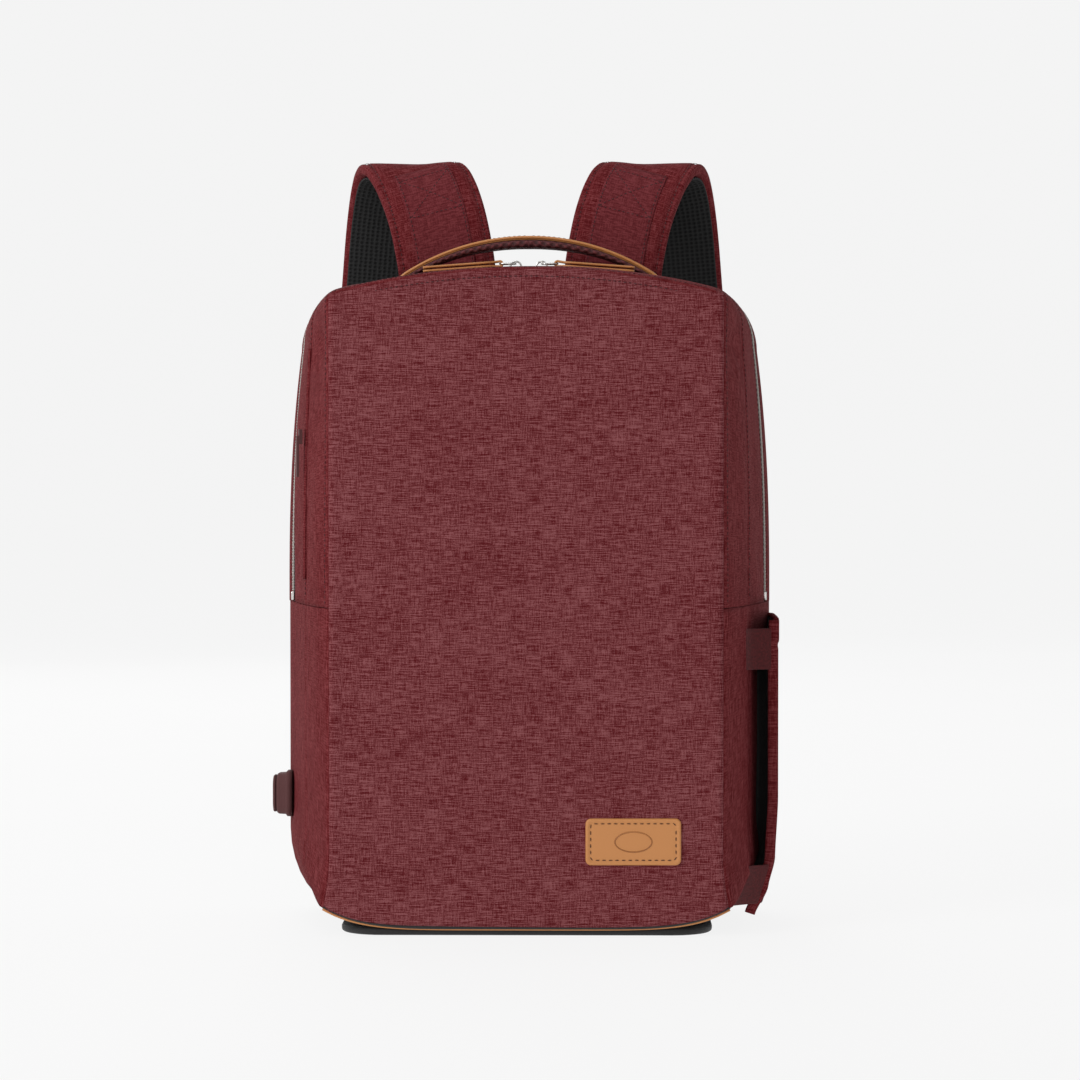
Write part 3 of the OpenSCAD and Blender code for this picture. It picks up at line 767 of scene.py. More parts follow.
@dataclass
class BodyShape:
    """Outline of the body at any depth, in metres."""

    front_y: float = -75 * MM
    fold_y: float = -30 * MM
    wide_y: float = 45 * MM
    back_y: float = field(default_factory=lambda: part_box("back_panel")[1].y)
    half_front: float = 117.5 * MM
    half_back: float = field(default_factory=lambda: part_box("back_panel")[1].x)
    front_top: float = 399 * MM
    back_top: float = field(default_factory=lambda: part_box("back_panel")[1].z)
    front_sag: float = 15 * MM
    back_sag: float = 11 * MM
    corner: float = 42 * MM
    shoulder_in: float = 8 * MM
    low_corner: tuple[float, float] = (32 * MM, 50 * MM)
    floor: float = 4 * MM
    smile: float = 12 * MM
    flare_out: float = 4.5 * MM
    fold_mix: float = 0.53
    seam_z: float = 196 * MM
    counts: tuple[int, int, int, int] = (16, 52, 14, 26)

    def share(self, y: float) -> float:
        """How far the outline has grown from the front panel to the widest section."""
        if y <= self.fold_y:
            return self.fold_mix * max(0.0, (y - self.front_y) / (self.fold_y - self.front_y))
        return min(1.0, mix(self.fold_mix, 1.0, (y - self.fold_y) / (self.wide_y - self.fold_y)))

    def girth(self, y: float, above: bool) -> float:
        """Length of the outline at a depth, above the side seams or below them."""
        ring = self.ring(y)
        spans = zip(ring, ring[1:] + ring[:1])
        return sum((b - a).length for a, b in spans if ((a.z + b.z) / 2 > self.seam_z) == above)

    def front_half(self) -> list[tuple[float, float]]:
        """Right half of the front outline, from the bottom middle to the top middle."""
        low, side, turn, top = self.counts
        hw, sag = self.half_front, self.front_sag
        crown = self.front_top - sag
        radius = 3 * MM
        foot = (hw + self.flare_out, self.floor + self.smile)
        points = []
        for i in range(low + 1):
            u = i / low
            points.append((foot[0] * u, self.floor + self.smile * u ** 6))
        for i in range(1, side):
            z = mix(foot[1], crown - radius, i / side)
            points.append((hw + self.flare_out * max(0.0, 1 - (z - foot[1]) / (34 * MM)) ** 1.6, z))
        for i in range(turn + 1):
            a = math.radians(80 * i / turn)
            points.append((hw - radius + radius * math.cos(a), crown - radius + radius * math.sin(a)))
        for i in range(1, top + 1):
            x = (hw - radius) * (1 - i / top)
            points.append((x, self.front_top - sag * (x / hw) ** 2))
        return points

    def back_half(self) -> list[tuple[float, float]]:
        """Right half of the widest outline, with the same number of points."""
        low, side, turn, top = self.counts
        hw, (rx, rz) = self.half_back, self.low_corner
        centre_x = hw - self.shoulder_in - self.corner
        shoulder = self.back_top - self.shoulder_in - self.corner
        points = []
        for i in range(low + 1):
            u = i / low
            a = math.radians(mix(-90, 0, max(0.0, (u - 0.5) / 0.5)))
            x = (hw - rx) * min(1.0, u / 0.5) if u < 0.5 else hw - rx + rx * math.cos(a)
            z = self.floor + (0 if u < 0.5 else rz + rz * math.sin(a))
            points.append((x, z))
        for i in range(1, side):
            z = mix(self.floor + rz, shoulder, i / side)
            drop = self.shoulder_in * max(0.0, (z - 200 * MM) / (shoulder - 200 * MM)) ** 2.5
            points.append((hw - drop, z))
        for i in range(turn + 1):
            a = math.radians(80 * i / turn)
            points.append((centre_x + self.corner * math.cos(a), shoulder + self.corner * math.sin(a)))
        for i in range(1, top + 1):
            x = centre_x * (1 - i / top)
            points.append((x, self.back_top - self.back_sag * (x / self.half_front) ** 2))
        return points

    def ring(self, y: float, inset: float = 0.0, set_y: float | None = None) -> list[Vector]:
        """Whole outline at a depth, drawn in by an inset, counter-clockwise from the bottom middle.

        Args:
            y: the depth whose outline it is.
            inset: how far it is drawn in.
            set_y: the depth to place it at, if that is another one.

        Returns:
            The ring's points.
        """
        t = self.share(y)
        half = [(mix(a[0], b[0], t), mix(a[1], b[1], t))
                for a, b in zip(self.front_half(), self.back_half())]
        flat = half + [(-x, z) for x, z in half[-2:0:-1]]
        place = y if set_y is None else set_y
        ring = []
        count = len(flat)
        for i, (x, z) in enumerate(flat):
            ax, az = flat[(i + 1) % count]
            bx, bz = flat[i - 1]
            out = Vector((az - bz, 0, bx - ax))
            out = out.normalized() if out.length > 0 else Vector((0, 0, 1))
            ring.append(Vector((x, place, z)) - out * inset)
        return ring

    def side_x(self, y: float) -> float:
        """Half width at mid-height."""
        return mix(self.half_front, self.half_back, self.share(y))


SHAPE = BodyShape()


@dataclass
class SewnBody:
    """Front panel, walls, back, base and linings of the sewn bag."""

    zip_y: float = 30 * MM
    tape: float = 4 * MM
    wall: float = 2.3 * MM
    crown: float = 3.2 * MM
    skins: dict[str, BVHTree] = field(default_factory=dict)

    def belly(self, x: float, z: float) -> float:
        """How far the filled front swells out at a place."""
        share = min(1.0, max(0.0, (z - SHAPE.floor) / (SHAPE.front_top - SHAPE.front_sag - SHAPE.floor)))
        flat = max(0.0, 1 - (x / (SHAPE.half_front + SHAPE.flare_out)) ** 2)
        return self.crown * flat ** 0.8 * math.sin(math.pi * share) ** 0.6

    def strip_rings(self, y0: float, y1: float, seams: Sequence[float], steps: int,
                    puff: float = 1.1 * MM) -> list[list[Vector]]:
        """Rings of a wall that swells between its seams.

        Args:
            y0: depth of its first ring.
            y1: depth of its last ring.
            seams: depths of the seams, the two ends included.
            steps: how many rings lie between two seams.
            puff: how far the cloth swells out between seams.

        Returns:
            The rings from front to back.
        """
        rings = []
        for a, b in zip(seams, seams[1:]):
            for s in range(steps):
                t = s / steps
                y = mix(a, b, t * t * (3 - 2 * t) * 0.35 + t * 0.65)
                share = (y - a) / (b - a)
                groove = bump_at(min(y - a, b - y), 1.3 * MM)
                swell = puff * math.sin(math.pi * share) ** 0.7 - 1.0 * MM * groove
                if y0 <= y <= y1:
                    rings.append(SHAPE.ring(y, -swell))
        rings.append(SHAPE.ring(y1, 0.6 * MM))
        return rings

    def crease(self, bm: bmesh.types.BMesh) -> None:
        """Presses the soft folds of worn cloth into the walls."""
        for v in bm.verts:
            p = v.co
            side = smooth((abs(p.x) - 100 * MM) / (18 * MM))
            ripple = noise.noise(Vector((p.x * 9 + 3, p.y * 30, p.z * 8))) * 1.3 * MM
            ripple += noise.noise(Vector((p.x * 22, p.y * 60, p.z * 19 + 5))) * 0.5 * MM
            dent = 4.0 * MM * bump_at(p.z - 352 * MM, 9 * MM) * bump_at(p.y + 52 * MM, 16 * MM)
            tuck = 1.5 * MM * bump_at(p.z - 341 * MM - (p.y + 50 * MM) * 0.15, 2.2 * MM)
            tuck *= bump_at(p.y + 50 * MM, 22 * MM)
            fade = smooth((p.y + 73 * MM) / (10 * MM)) * smooth((25 * MM - p.y) / (8 * MM) + 0.3)
            move = (ripple - side * (dent + tuck)) * fade
            direction = Vector((math.copysign(1, p.x) * side, 0, 1 - side))
            v.co = p + direction.normalized() * move

    def walls(self) -> None:
        """Makes the walls: the lid's, the lower one and the strip behind the zip."""
        front, fold = SHAPE.front_y + 1.5 * MM, SHAPE.fold_y
        zip_front, zip_rear = self.zip_y - self.tape, self.zip_y + self.tape
        rear = SHAPE.back_y - 1 * MM
        up = Vector((0, 0, 1))
        cut = Vector((0, 0, SHAPE.seam_z))
        rims = {
            "upper_wall": ([front, fold, zip_front], Body.LID, up, ["upper_gusset"]),
            "lower_wall": ([front, fold, rear], Body.PACK, -up, ["lower_gusset"]),
            "rear_wall": ([zip_rear, rear], Body.PACK, up, ["rear_gusset"]),
        }
        for name, (seams, body, keep, nodes) in rims.items():
            steps = 14 if name != "rear_wall" else 12
            bm = loft(self.strip_rings(seams[0], seams[-1], seams, steps))
            turn_out(bm, Vector((0, 0, 0.2)))
            self.crease(bm)
            gap = 0.2 * MM if name == "upper_wall" else (-0.2 * MM if name == "lower_wall" else 0)
            keep_side(bm, cut + up * gap, keep)
            self.skins[name] = BVHTree.FromBMesh(bm)
            piece = hand_over(name, bm, HEATHER_PAINTED_SHADE, body, nodes)
            middle = (seams[0] + seams[-1]) / 2
            sheet_of(piece, (seams[-1] - seams[0], SHAPE.girth(middle, keep.z > 0)))
            wall_of(piece, self.wall, LINING)
            if name == "lower_wall":
                for finish in (BASE_CLOTH, LINING):
                    piece.data.materials.append(finish.material())
                for face in piece.data.polygons:
                    if face.normal.z < -0.35 and face.center.z < 16 * MM:
                        face.material_index = 2

    def front_panel(self) -> None:
        """Makes the front panel in one piece."""
        columns, rows = 110, 190
        bm = bmesh.new()
        bmesh.ops.create_grid(bm, x_segments=columns, y_segments=rows, size=1)
        rim = 4.0 * MM
        edge_share = 4 / columns * 2
        layer = bm.loops.layers.uv.verify()
        for v in bm.verts:
            u, w = v.co.x, (v.co.y + 1) / 2
            v.co = self.front_point(u, w, rim, edge_share)
        for face in bm.faces:
            for loop in face.loops:
                loop[layer].uv = (loop.vert.co.x, loop.vert.co.z)
        turn_out(bm, Vector((0, 0, 0.2)))
        lip = [e for e in bm.edges if e.is_boundary]
        grown = bmesh.ops.extrude_edge_only(bm, edges=lip)["geom"]
        for v in (g for g in grown if isinstance(g, bmesh.types.BMVert)):
            v.co.y += 2.2 * MM
            v.co.x *= 1.003
        bmesh.ops.recalc_face_normals(bm, faces=bm.faces)
        piece = hand_over("front_panel", bm, BURGUNDY, "",
                          ["lower_front_panel", "upper_front_panel"])
        sheet_of(piece, (2 * SHAPE.half_front, SHAPE.front_top - SHAPE.floor))
        wall_of(piece, 1.6 * MM, LINING)
        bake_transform(piece)
        seam = []
        for k in range(61):
            x = mix(-112, 112, k / 60) * MM
            z = SHAPE.front_top - SHAPE.front_sag * (x / SHAPE.half_front) ** 2 - 5.2 * MM
            seam.append(Vector((x, SHAPE.front_y - self.belly(x, z) - self.ripple(x, z) + 0.45 * MM, z)))
        hand_over("front_top_seam", stitch_line(seam, 3.1 * MM, 2.1 * MM, 0.26 * MM), DARK_THREAD,
                  Body.LID)

    def front_point(self, u: float, w: float, rim: float, edge_share: float) -> Vector:
        """Place on the front panel.

        Args:
            u: share across, from -1 at the left edge to 1 at the right.
            w: share up, from 0 at the bottom edge to 1 at the top.
            rim: width of the rounded edge.
            edge_share: share of the columns that the rounded edge takes.

        Returns:
            The point on the swelling front.
        """
        side = abs(u)
        z_mid = mix(SHAPE.floor + SHAPE.smile, SHAPE.front_top - SHAPE.front_sag, w)
        half = SHAPE.half_front + SHAPE.flare_out * max(0.0, 1 - (z_mid - 16 * MM) / (34 * MM)) ** 1.6
        inner = 1 - edge_share
        if side <= inner:
            x = side / inner * (half - rim)
        else:
            x = half - rim + (side - inner) / edge_share * rim
        over = max(0.0, (x - (half - rim)) / rim)
        x = math.copysign(x, u)
        foot = SHAPE.floor + SHAPE.smile * (abs(x) / (SHAPE.half_front + SHAPE.flare_out)) ** 6
        head = SHAPE.front_top - SHAPE.front_sag * (x / SHAPE.half_front) ** 2
        w_rim = 5 / 190
        if w < w_rim:
            up = w / w_rim * 8 * MM
        elif w > 1 - w_rim:
            up = (head - foot) - (1 - w) / w_rim * 7 * MM
        else:
            up = 8 * MM + (w - w_rim) / (1 - 2 * w_rim) * (head - foot - 15 * MM)
        z = foot + up
        low_over = max(0.0, 1 - up / (8 * MM))
        top_over = max(0.0, 1 - (head - foot - up) / (7 * MM))
        depth = self.belly(x, z) + self.ripple(x, z)
        depth -= 0.9 * MM * bump_at(head - z - 5.0 * MM, 1.1 * MM) * smooth((100 * MM - abs(x)) / (30 * MM))
        depth -= 1.6 * MM * (1 - math.sqrt(max(0.0, 1 - over * over)))
        depth -= 4.5 * MM * (1 - math.sqrt(max(0.0, 1 - low_over ** 2)))
        depth -= 3.5 * MM * (1 - math.sqrt(max(0.0, 1 - top_over ** 2)))
        return Vector((x, SHAPE.front_y - depth, z))

    @staticmethod
    def ripple(x: float, z: float) -> float:
        """Soft folds of the front cloth: broad swells, and pulls fanning out from the lower corners."""
        soft = noise.noise(Vector((x * 7, 0.3, z * 9))) * 1.1 * MM
        soft += noise.noise(Vector((x * 12, 5.1, z * 48))) * 0.32 * MM
        low = smooth((95 * MM - z) / (80 * MM))
        pulls = math.sin((z + abs(x) * 0.16) / (4.1 * MM)) * 0.30 * MM
        pulls *= 0.5 + noise.noise(Vector((x * 14, 2.2, z * 22)))
        corner = smooth((abs(x) - 45 * MM) / (60 * MM)) * smooth((60 * MM - z) / (50 * MM))
        fan = math.sin((z * 1.6 + (abs(x) - 120 * MM) ** 2 * 2.2) / (5.2 * MM)) * 0.45 * MM
        calm = smooth((abs(x - 64 * MM) - 30 * MM) / (14 * MM)) + smooth((abs(z - 57 * MM) - 15 * MM) / (12 * MM))
        return (soft + low * pulls + corner * fan) * smooth((118 * MM - abs(x)) / (14 * MM)) * min(1.0, calm)


@dataclass
class MainZip:
    """Zip over the top and down both sides, with two sliders, links and leather pulls."""

    y: float = 30 * MM
    tape: float = 4 * MM
    half_gap: float = 0.15 * MM
    pitch: float = 1.75 * MM
    tooth: tuple[float, float, float] = (1.8 * MM, 1.05 * MM, 1.6 * MM)
    plate_z: float = 403.07 * MM
    plate: tuple[float, float, float] = (10 * MM, 8.5 * MM, 1.6 * MM)
    slider_x: float = 8 * MM
    crown: float = 3.4 * MM
    bar: Vector = field(default_factory=lambda: at(18.0, 30, 406.47))
    pull_length: float = 48 * MM
    pull_width: float = 11 * MM
    pull_tilt: float = 4.2

    def arch(self, y: float, out: float, low: float) -> list[Vector]:
        """Line over the bag at a depth, from the right seam over the top to the left one."""
        return [p for p in SHAPE.ring(y, -out) if p.z > low]

    def tapes(self) -> None:
        """Makes the two woven tapes."""
        for name, y0, y1, body, low in (
            ("zip_front_tape", self.y - self.tape + 0.05 * MM, self.y - self.half_gap, Body.LID, 0.3 * MM),
            ("zip_rear_tape", self.y + self.half_gap, self.y + self.tape - 0.05 * MM, Body.PACK, -0.3 * MM),
        ):
            bm = loft([SHAPE.ring(mix(y0, y1, t / 4), 0.5 * MM) for t in range(5)])
            turn_out(bm, Vector((0, 0, 0.2)))
            keep_side(bm, Vector((0, 0, SHAPE.seam_z + low)), Vector((0, 0, 1)))
            wall_of(hand_over(name, bm, ZIP_TAPE, body, [name]), 0.9 * MM)

    def teeth(self) -> None:
        """Makes the two rows of teeth and the stops at their lower ends."""
        deep = Vector((0, 1, 0))
        rows = (("zip_front_teeth", -1, Body.LID, 3 * MM), ("zip_rear_teeth", 1, Body.PACK, 0.9 * MM))
        for name, side, body, low in rows:
            bm = bmesh.new()
            line = self.arch(self.y, 0, SHAPE.seam_z + low)
            for spot, run in walk(line, self.pitch, 0 if side < 0 else self.pitch / 2):
                out = deep.cross(run)
                middle = spot + deep * side * (self.half_gap + self.tooth[0] / 2) + out * 0.1 * MM
                turn = Matrix((deep, run, out)).transposed().to_4x4()
                place = Matrix.Translation(middle) @ turn @ Matrix.Diagonal((*self.tooth, 1))
                bmesh.ops.create_cube(bm, size=1, matrix=place)
            bmesh.ops.bevel(bm, geom=bm.edges[:], offset=0.3 * MM, segments=1, profile=0.5,
                            affect="EDGES", material=-1)
            hand_over(name, bm, COIL, body, [name])
        bm = bmesh.new()
        for side in Side:
            x = side.value * (SHAPE.side_x(self.y) + 0.3 * MM)
            low = Vector((x - 1.1 * MM, self.y - 3.6 * MM, SHAPE.seam_z + 0.8 * MM))
            add_box(bm, low, low + at(2.2, 3.3, 5.4), 0.5 * MM)
        hand_over("zip_end_stops", bm, NICKEL, Body.LID)

    def sliders(self) -> None:
        """Makes both sliders with their crowns, links and pulls."""
        for side in Side:
            word = side.word
            bm = bmesh.new()
            long, wide, thick = self.plate
            low = Vector((self.slider_x - long / 2, self.y - wide / 2, self.plate_z))
            add_box(bm, low, low + Vector((long, wide, thick)), 0.7 * MM, 3)
            for edge in (-1, 1):
                y = self.y + edge * (wide / 2 - 0.5 * MM)
                rail = Vector((self.slider_x - 3.6 * MM, y - 0.45 * MM, self.plate_z - 0.9 * MM))
                add_box(bm, rail, rail + at(7.2, 0.9, 1.3), 0.25 * MM)
            top = Vector((self.slider_x, self.y, self.plate_z + thick - 0.2 * MM))
            oval = pad_section(2.8 * MM, -0.6 * MM, 0.6 * MM, 2.6, 14)
            bow = loft(band_rings(arc_points(top, self.crown, 0, 180, 18), lambda i: oval, Vector((0, 1, 0))))
            close_ends(bow)
            turn_out(bow)
            scratch = bpy.data.meshes.new("bow")
            bow.to_mesh(scratch)
            bow.free()
            bm.from_mesh(scratch)
            bpy.data.meshes.remove(scratch)
            slider = f"slider_{word}"
            hand_over(slider, mirrored(bm, side), NICKEL, f"{word}_slider", [slider])
            self.link(side)
            self.pull(side)

    def link(self, side: Side) -> None:
        """Makes the round-wire link that hangs in a crown."""
        bend, short = 2.9 * MM, 4.0 * MM
        line = []
        for i in range(24):
            a = math.radians(-82.5 + 15 * i)
            shift = 0 if -90 < math.degrees(a) < 90 else -short
            line.append(self.bar + Vector((shift - bend + bend * math.cos(a), bend * math.sin(a), 0)))
        bm = tube(line, 0.62 * MM, Vector((0, 0, 1)), True)
        link = f"link_{side.word}"
        hand_over(link, mirrored(bm, side), NICKEL, f"{side.word}_link", [link])

    def pull(self, side: Side) -> None:
        """Makes the leather pull: one strip doubled round the link's bar and stitched."""
        tip = self.pull_length
        places = [tip, tip - 0.3 * MM, tip - 1 * MM, tip - 2.4 * MM]
        places += [*(tip * k / 12 for k in range(11, 1, -1)), 5 * MM]
        upper = [Vector((u, 0, 1.12 * MM)) for u in places] + [Vector((2.8 * MM, 0, 1.35 * MM))]
        loop = arc_points(Vector(), 1.6 * MM, 75, 285, 12)
        lower = [Vector((p.x, 0, -p.z)) for p in reversed(upper)]
        line = upper + loop + lower

        def outline(i: int) -> list[tuple[float, float]]:
            """Section of the strip at one of its points."""
            u = line[i].x
            half = mix(2.05 * MM, self.pull_width / 2, smooth((u - 1.5 * MM) / (7 * MM)))
            over = max(0.0, (u - tip + 2.4 * MM) / (2.4 * MM))
            half -= 2.2 * MM * (1 - math.sqrt(max(0.0, 1 - min(1, over) ** 2)))
            return pad_section(2 * half, -0.76 * MM, 0.76 * MM, 5, 24)

        place = Matrix.Translation(self.bar) @ Matrix.Rotation(math.radians(self.pull_tilt), 4, "Y")
        word = side.word
        bm = ribbon(line, outline, Vector((0, 1, 0)))
        bmesh.ops.transform(bm, matrix=place, verts=bm.verts)
        hand_over(f"pull_{word}", mirrored(bm, side), TAN, f"{word}_pull", [f"pull_{word}"])
        seam = [Vector((u, y, 1.90 * MM)) for u, y in
                ((7 * MM, -2.6 * MM), (11 * MM, -3.9 * MM), (44 * MM, -3.9 * MM), (44 * MM, 3.9 * MM),
                 (11 * MM, 3.9 * MM), (7 * MM, 2.6 * MM), (7 * MM, -2.6 * MM))]
        thread = stitch_line(seam, 2.6 * MM, 1.8 * MM, 0.2 * MM)
        bmesh.ops.transform(thread, matrix=place, verts=thread.verts)
        hand_over(f"pull_stitches_{word}", mirrored(thread, side), BROWN_THREAD, f"{word}_pull")


@dataclass
class GrabHandle:
    """Leather strip on ribbed webbing, sewn down at both ends."""

    y: float = 50 * MM
    radius: float = 142.3 * MM
    centre_z: float = 280.1 * MM
    half: float = 76 * MM
    web_width: float = 22 * MM
    leather_width: float = 16 * MM
    fixed: float = 73 * MM
    free: float = 42 * MM

    def line(self) -> list[Vector]:
        """Middle line of the right half, from its sewn end up to the middle."""
        spots = [at(82, 50, 394.5), at(80.2, 50, 396.9), at(78.2, 50, 398.8)]
        for i in range(27):
            x = self.half * (1 - i / 26)
            spots.append(Vector((x, self.y, self.centre_z + math.sqrt(self.radius ** 2 - x * x))))
        spots.append(Vector((-3 * MM, self.y, self.centre_z + self.radius - 0.03 * MM)))
        return spots

    def build(self) -> None:
        """Makes both halves of each layer, and the stitching."""
        deep = Vector((0, 1, 0))
        line = self.line()
        layers = (
            ("handle_leather", self.leather_width, 0.3 * MM, 2.6 * MM, TAN, "tan_leather"),
            ("handle_backing", self.leather_width + 0.3 * MM, -0.3 * MM, 0.7 * MM, TAN_EDGE, "tan_leather"),
            ("handle_webbing", self.web_width, -3.0 * MM, 0.0, HANDLE_CORD, "webbing"),
        )
        for side in Side:
            for name, wide, low, high, finish, slot in layers:
                cord = name == "handle_webbing"
                belly, power = (2.6 * MM, 3) if cord else (0, 3.4)
                bm = ribbon(line, lambda i: pad_section(
                    wide, low - belly * smooth(i / len(line)), high, power, 28), deep)
                keep_side(bm, Vector(), Vector((1, 0, 0)))
                bm = mirrored(bm, side)
                stands = [f"handle_anchor_{side.word}"] + ([name] if name != "handle_backing" else [])
                self.join(hand_over(f"{name}_{side.word}", bm, finish, "", stands), side)
            bm = bmesh.new()
            for place in (-1, 1):
                seam = band_line(line, place * (self.leather_width / 2 - 2.6 * MM), 2.5 * MM, deep)
                add = stitch_line(seam[1:-1], 3.2 * MM, 2.3 * MM, 0.2 * MM)
                scratch = bpy.data.meshes.new("seam")
                add.to_mesh(scratch)
                add.free()
                bm.from_mesh(scratch)
                bpy.data.meshes.remove(scratch)
            sewn = hand_over(f"handle_stitches_{side.word}", mirrored(bm, side), BROWN_THREAD, "")
            self.join(sewn, side)

    def join(self, piece: bpy.types.Object, side: Side) -> None:
        """Bakes a piece's placement into its mesh; the piece rides on no body."""
        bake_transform(piece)


@dataclass
class ShoulderStraps:
    """Padded straps with mesh linings, reinforcing strips, locks, webbing, yoke and wings."""

    route: tuple[tuple[float, float, float], ...] = (
        (52, 84, 392), (54, 85, 412), (60, 91, 440), (69, 105, 462), (79, 123, 470), (86, 142, 462),
        (91, 155, 436), (95, 161, 392), (99, 159, 340), (103, 151, 285), (107, 140, 235), (110, 129, 195))
    web_route: tuple[tuple[float, float, float], ...] = (
        (111.2, 122.6, 172), (113, 112, 140), (116, 98, 100), (120, 87, 63), (123, 81, 43.5))
    tail_route: tuple[tuple[float, float, float], ...] = (
        (111.0, 128.6, 177), (112.5, 130.5, 160), (114, 127, 138), (115.5, 121, 116), (116.5, 117, 104))
    steps: int = 8
    width: float = 62 * MM
    top: float = 6 * MM
    low: float = -4.3 * MM
    patch_width: float = 37 * MM

    def line(self, route: Sequence[tuple[float, float, float]], steps: int) -> list[Vector]:
        """Smooth middle line of a band."""
        return curve_through([at(*p) for p in route], steps)

    def pad_outline(self, line: Points, i: int, wrinkle: bool = True) -> list[tuple[float, float]]:
        """Section of the padded strap, with a stitched channel near both edges."""
        left = (line[-1] - line[i]).length
        wide = self.width
        if left < 14 * MM:
            wide -= 2 * 13 * MM * (1 - math.sqrt(max(0.0, 1 - (1 - left / (14 * MM)) ** 2)))
        outline = []
        for x, n in pad_section(wide, self.low, self.top, 4.2, 56):
            channel = bump_at(abs(x) - (wide / 2 - 3.8 * MM), 1.3 * MM)
            if n > 1 * MM:
                slack = noise.noise(Vector((x * 30, i * 0.35, 2))) * 0.5 * MM if wrinkle else 0
                n += slack - 1.2 * MM * channel
            outline.append((x, n))
        return outline

    def build(self) -> None:
        """Makes both straps and what they are sewn to."""
        line = self.line(self.route, self.steps)
        for side in Side:
            word = side.word
            body = f"{word}_strap"
            bm = ribbon(line, lambda i: self.pad_outline(line, i))
            pad = hand_over(f"strap_pad_{word}", mirrored(bm, side), HEATHER_PAINTED_SHADE, body,
                            [f"strap_pad_{word}"])
            inner = pad_section(self.width - 7 * MM, -6 * MM, -4.0 * MM, 5, 30)
            bm = ribbon(line[:-2], lambda i: inner)
            mesh = f"strap_mesh_{word}"
            hand_over(mesh, mirrored(bm, side), SPACER, body, [mesh])
            strip = line[:3 * self.steps + 3]
            outline = pad_section(self.patch_width, self.top - 0.9 * MM, self.top + 0.75 * MM, 7, 30)
            bm = ribbon(strip, lambda i: outline)
            hand_over(f"strap_patch_{word}", mirrored(bm, side), STRIP_CLOTH, body,
                      [f"strap_patch_{word}"])
            self.threads(line, strip, side)
            self.webbing(side)
        self.yoke()

    def threads(self, line: Points, strip: Points, side: Side) -> None:
        """Sews the edges of a strap and of its strip, and the crossed box near the shoulder."""
        runs = []
        for place in (-1, 1):
            runs.append(band_line(line[:-1], place * (self.width / 2 - 3.8 * MM), self.top - 1.15 * MM))
            runs.append(band_line(strip, place * (self.patch_width / 2 - 1.6 * MM), self.top + 0.8 * MM))
        edge, skin = self.patch_width / 2 - 1.6 * MM, self.top + 0.8 * MM
        low, high = len(strip) - 11, len(strip) - 3
        for i in (low, high):
            runs.append([band_line(strip, mix(-edge, edge, k / 6), skin)[i] for k in range(7)])
        for sign in (-1, 1):
            runs.append([band_line(strip, sign * mix(-edge, edge, k / 8), skin)[low + k]
                         for k in range(high - low + 1)])
        for n, run in enumerate(runs):
            thread = stitch_line(run, 3.0 * MM, 2.1 * MM, 0.3 * MM)
            hand_over(f"strap_thread_{side.word}_{n}", mirrored(thread, side), DARK_THREAD,
                      f"{side.word}_strap")

    def webbing(self, side: Side) -> None:
        """Makes the adjusting webbing with its free tail."""
        flat = pad_section(25 * MM, -0.8 * MM, 0.8 * MM, 6, 26)
        body = f"{side.word}_strap"
        bm = ribbon(self.line(self.web_route, 6), lambda i: flat)
        hand_over(f"strap_webbing_{side.word}", mirrored(bm, side), WEBBING, body,
                  [f"strap_webbing_{side.word}"])
        for out in (-1.0, 1.0):
            loop = curve_through([at(109.6, 131.5 + out, 206), at(110.2, 128.4 + out, 195),
                                  at(110.7, 126.4 + out * 0.9, 188), at(110.8, 125.9, 186.4)], 5)
            bm = ribbon(loop, lambda i: flat)
            hand_over(f"strap_loop_{side.word}_{'inner' if out < 0 else 'outer'}", mirrored(bm, side), WEBBING,
                      body)
        tail = self.line(self.tail_route, 6)
        bm = ribbon(tail, lambda i: pad_section(25 * MM, -0.8 * MM, (0.8 if i < len(tail) - 5 else 2.3) * MM, 6, 26))
        hand_over(f"strap_tail_{side.word}", mirrored(bm, side), WEBBING, body)

    def yoke(self) -> None:
        """Makes the sewn yoke, the padded roots of the straps and the two wings."""
        bm = bmesh.new()
        add_box(bm, at(-92, 65.6, 354), at(92, 72.5, 388), 3.2 * MM, 4)
        plate = hand_over("strap_yoke_panel", bm, BURGUNDY, Body.PACK, ["strap_yoke"])
        root = curve_through([at(52, 71, 358), at(52, 76.5, 372), at(52, 82.5, 384), at(52.2, 84, 393)], 5)
        for side in Side:
            last = len(root) - 1
            bm = ribbon(root, lambda i: pad_section(
                (57 + 5 * i / last) * MM, mix(-3.0, -6.0, i / last) * MM, mix(2.2, 6.0, i / last) * MM, 4.2, 40))
            piece = hand_over(f"strap_root_{side.word}", mirrored(bm, side), BURGUNDY, "",
                              ["strap_yoke"])
            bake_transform(piece)
            bm = bmesh.new()
            for spot in (at(141, 66, 20), at(141, 68.6, 82), at(139, 66, 82), at(141, 68.8, 20), at(110, 66, 20),
                         at(110, 69.4, 20), at(109, 74, 27), at(109, 78, 37), at(136, 78, 37), at(136, 74, 27)):
                bm.verts.new(spot)
            bmesh.ops.convex_hull(bm, input=bm.verts)
            bmesh.ops.bevel(bm, geom=bm.edges[:], offset=1.4 * MM, segments=3, profile=0.5, affect="EDGES",
                            material=-1, clamp_overlap=True)
            bmesh.ops.recalc_face_normals(bm, faces=bm.faces)
            wing = hand_over(f"wing_{side.word}", mirrored(bm, side), BURGUNDY, Body.PACK,
                             [f"wing_{side.word}"])


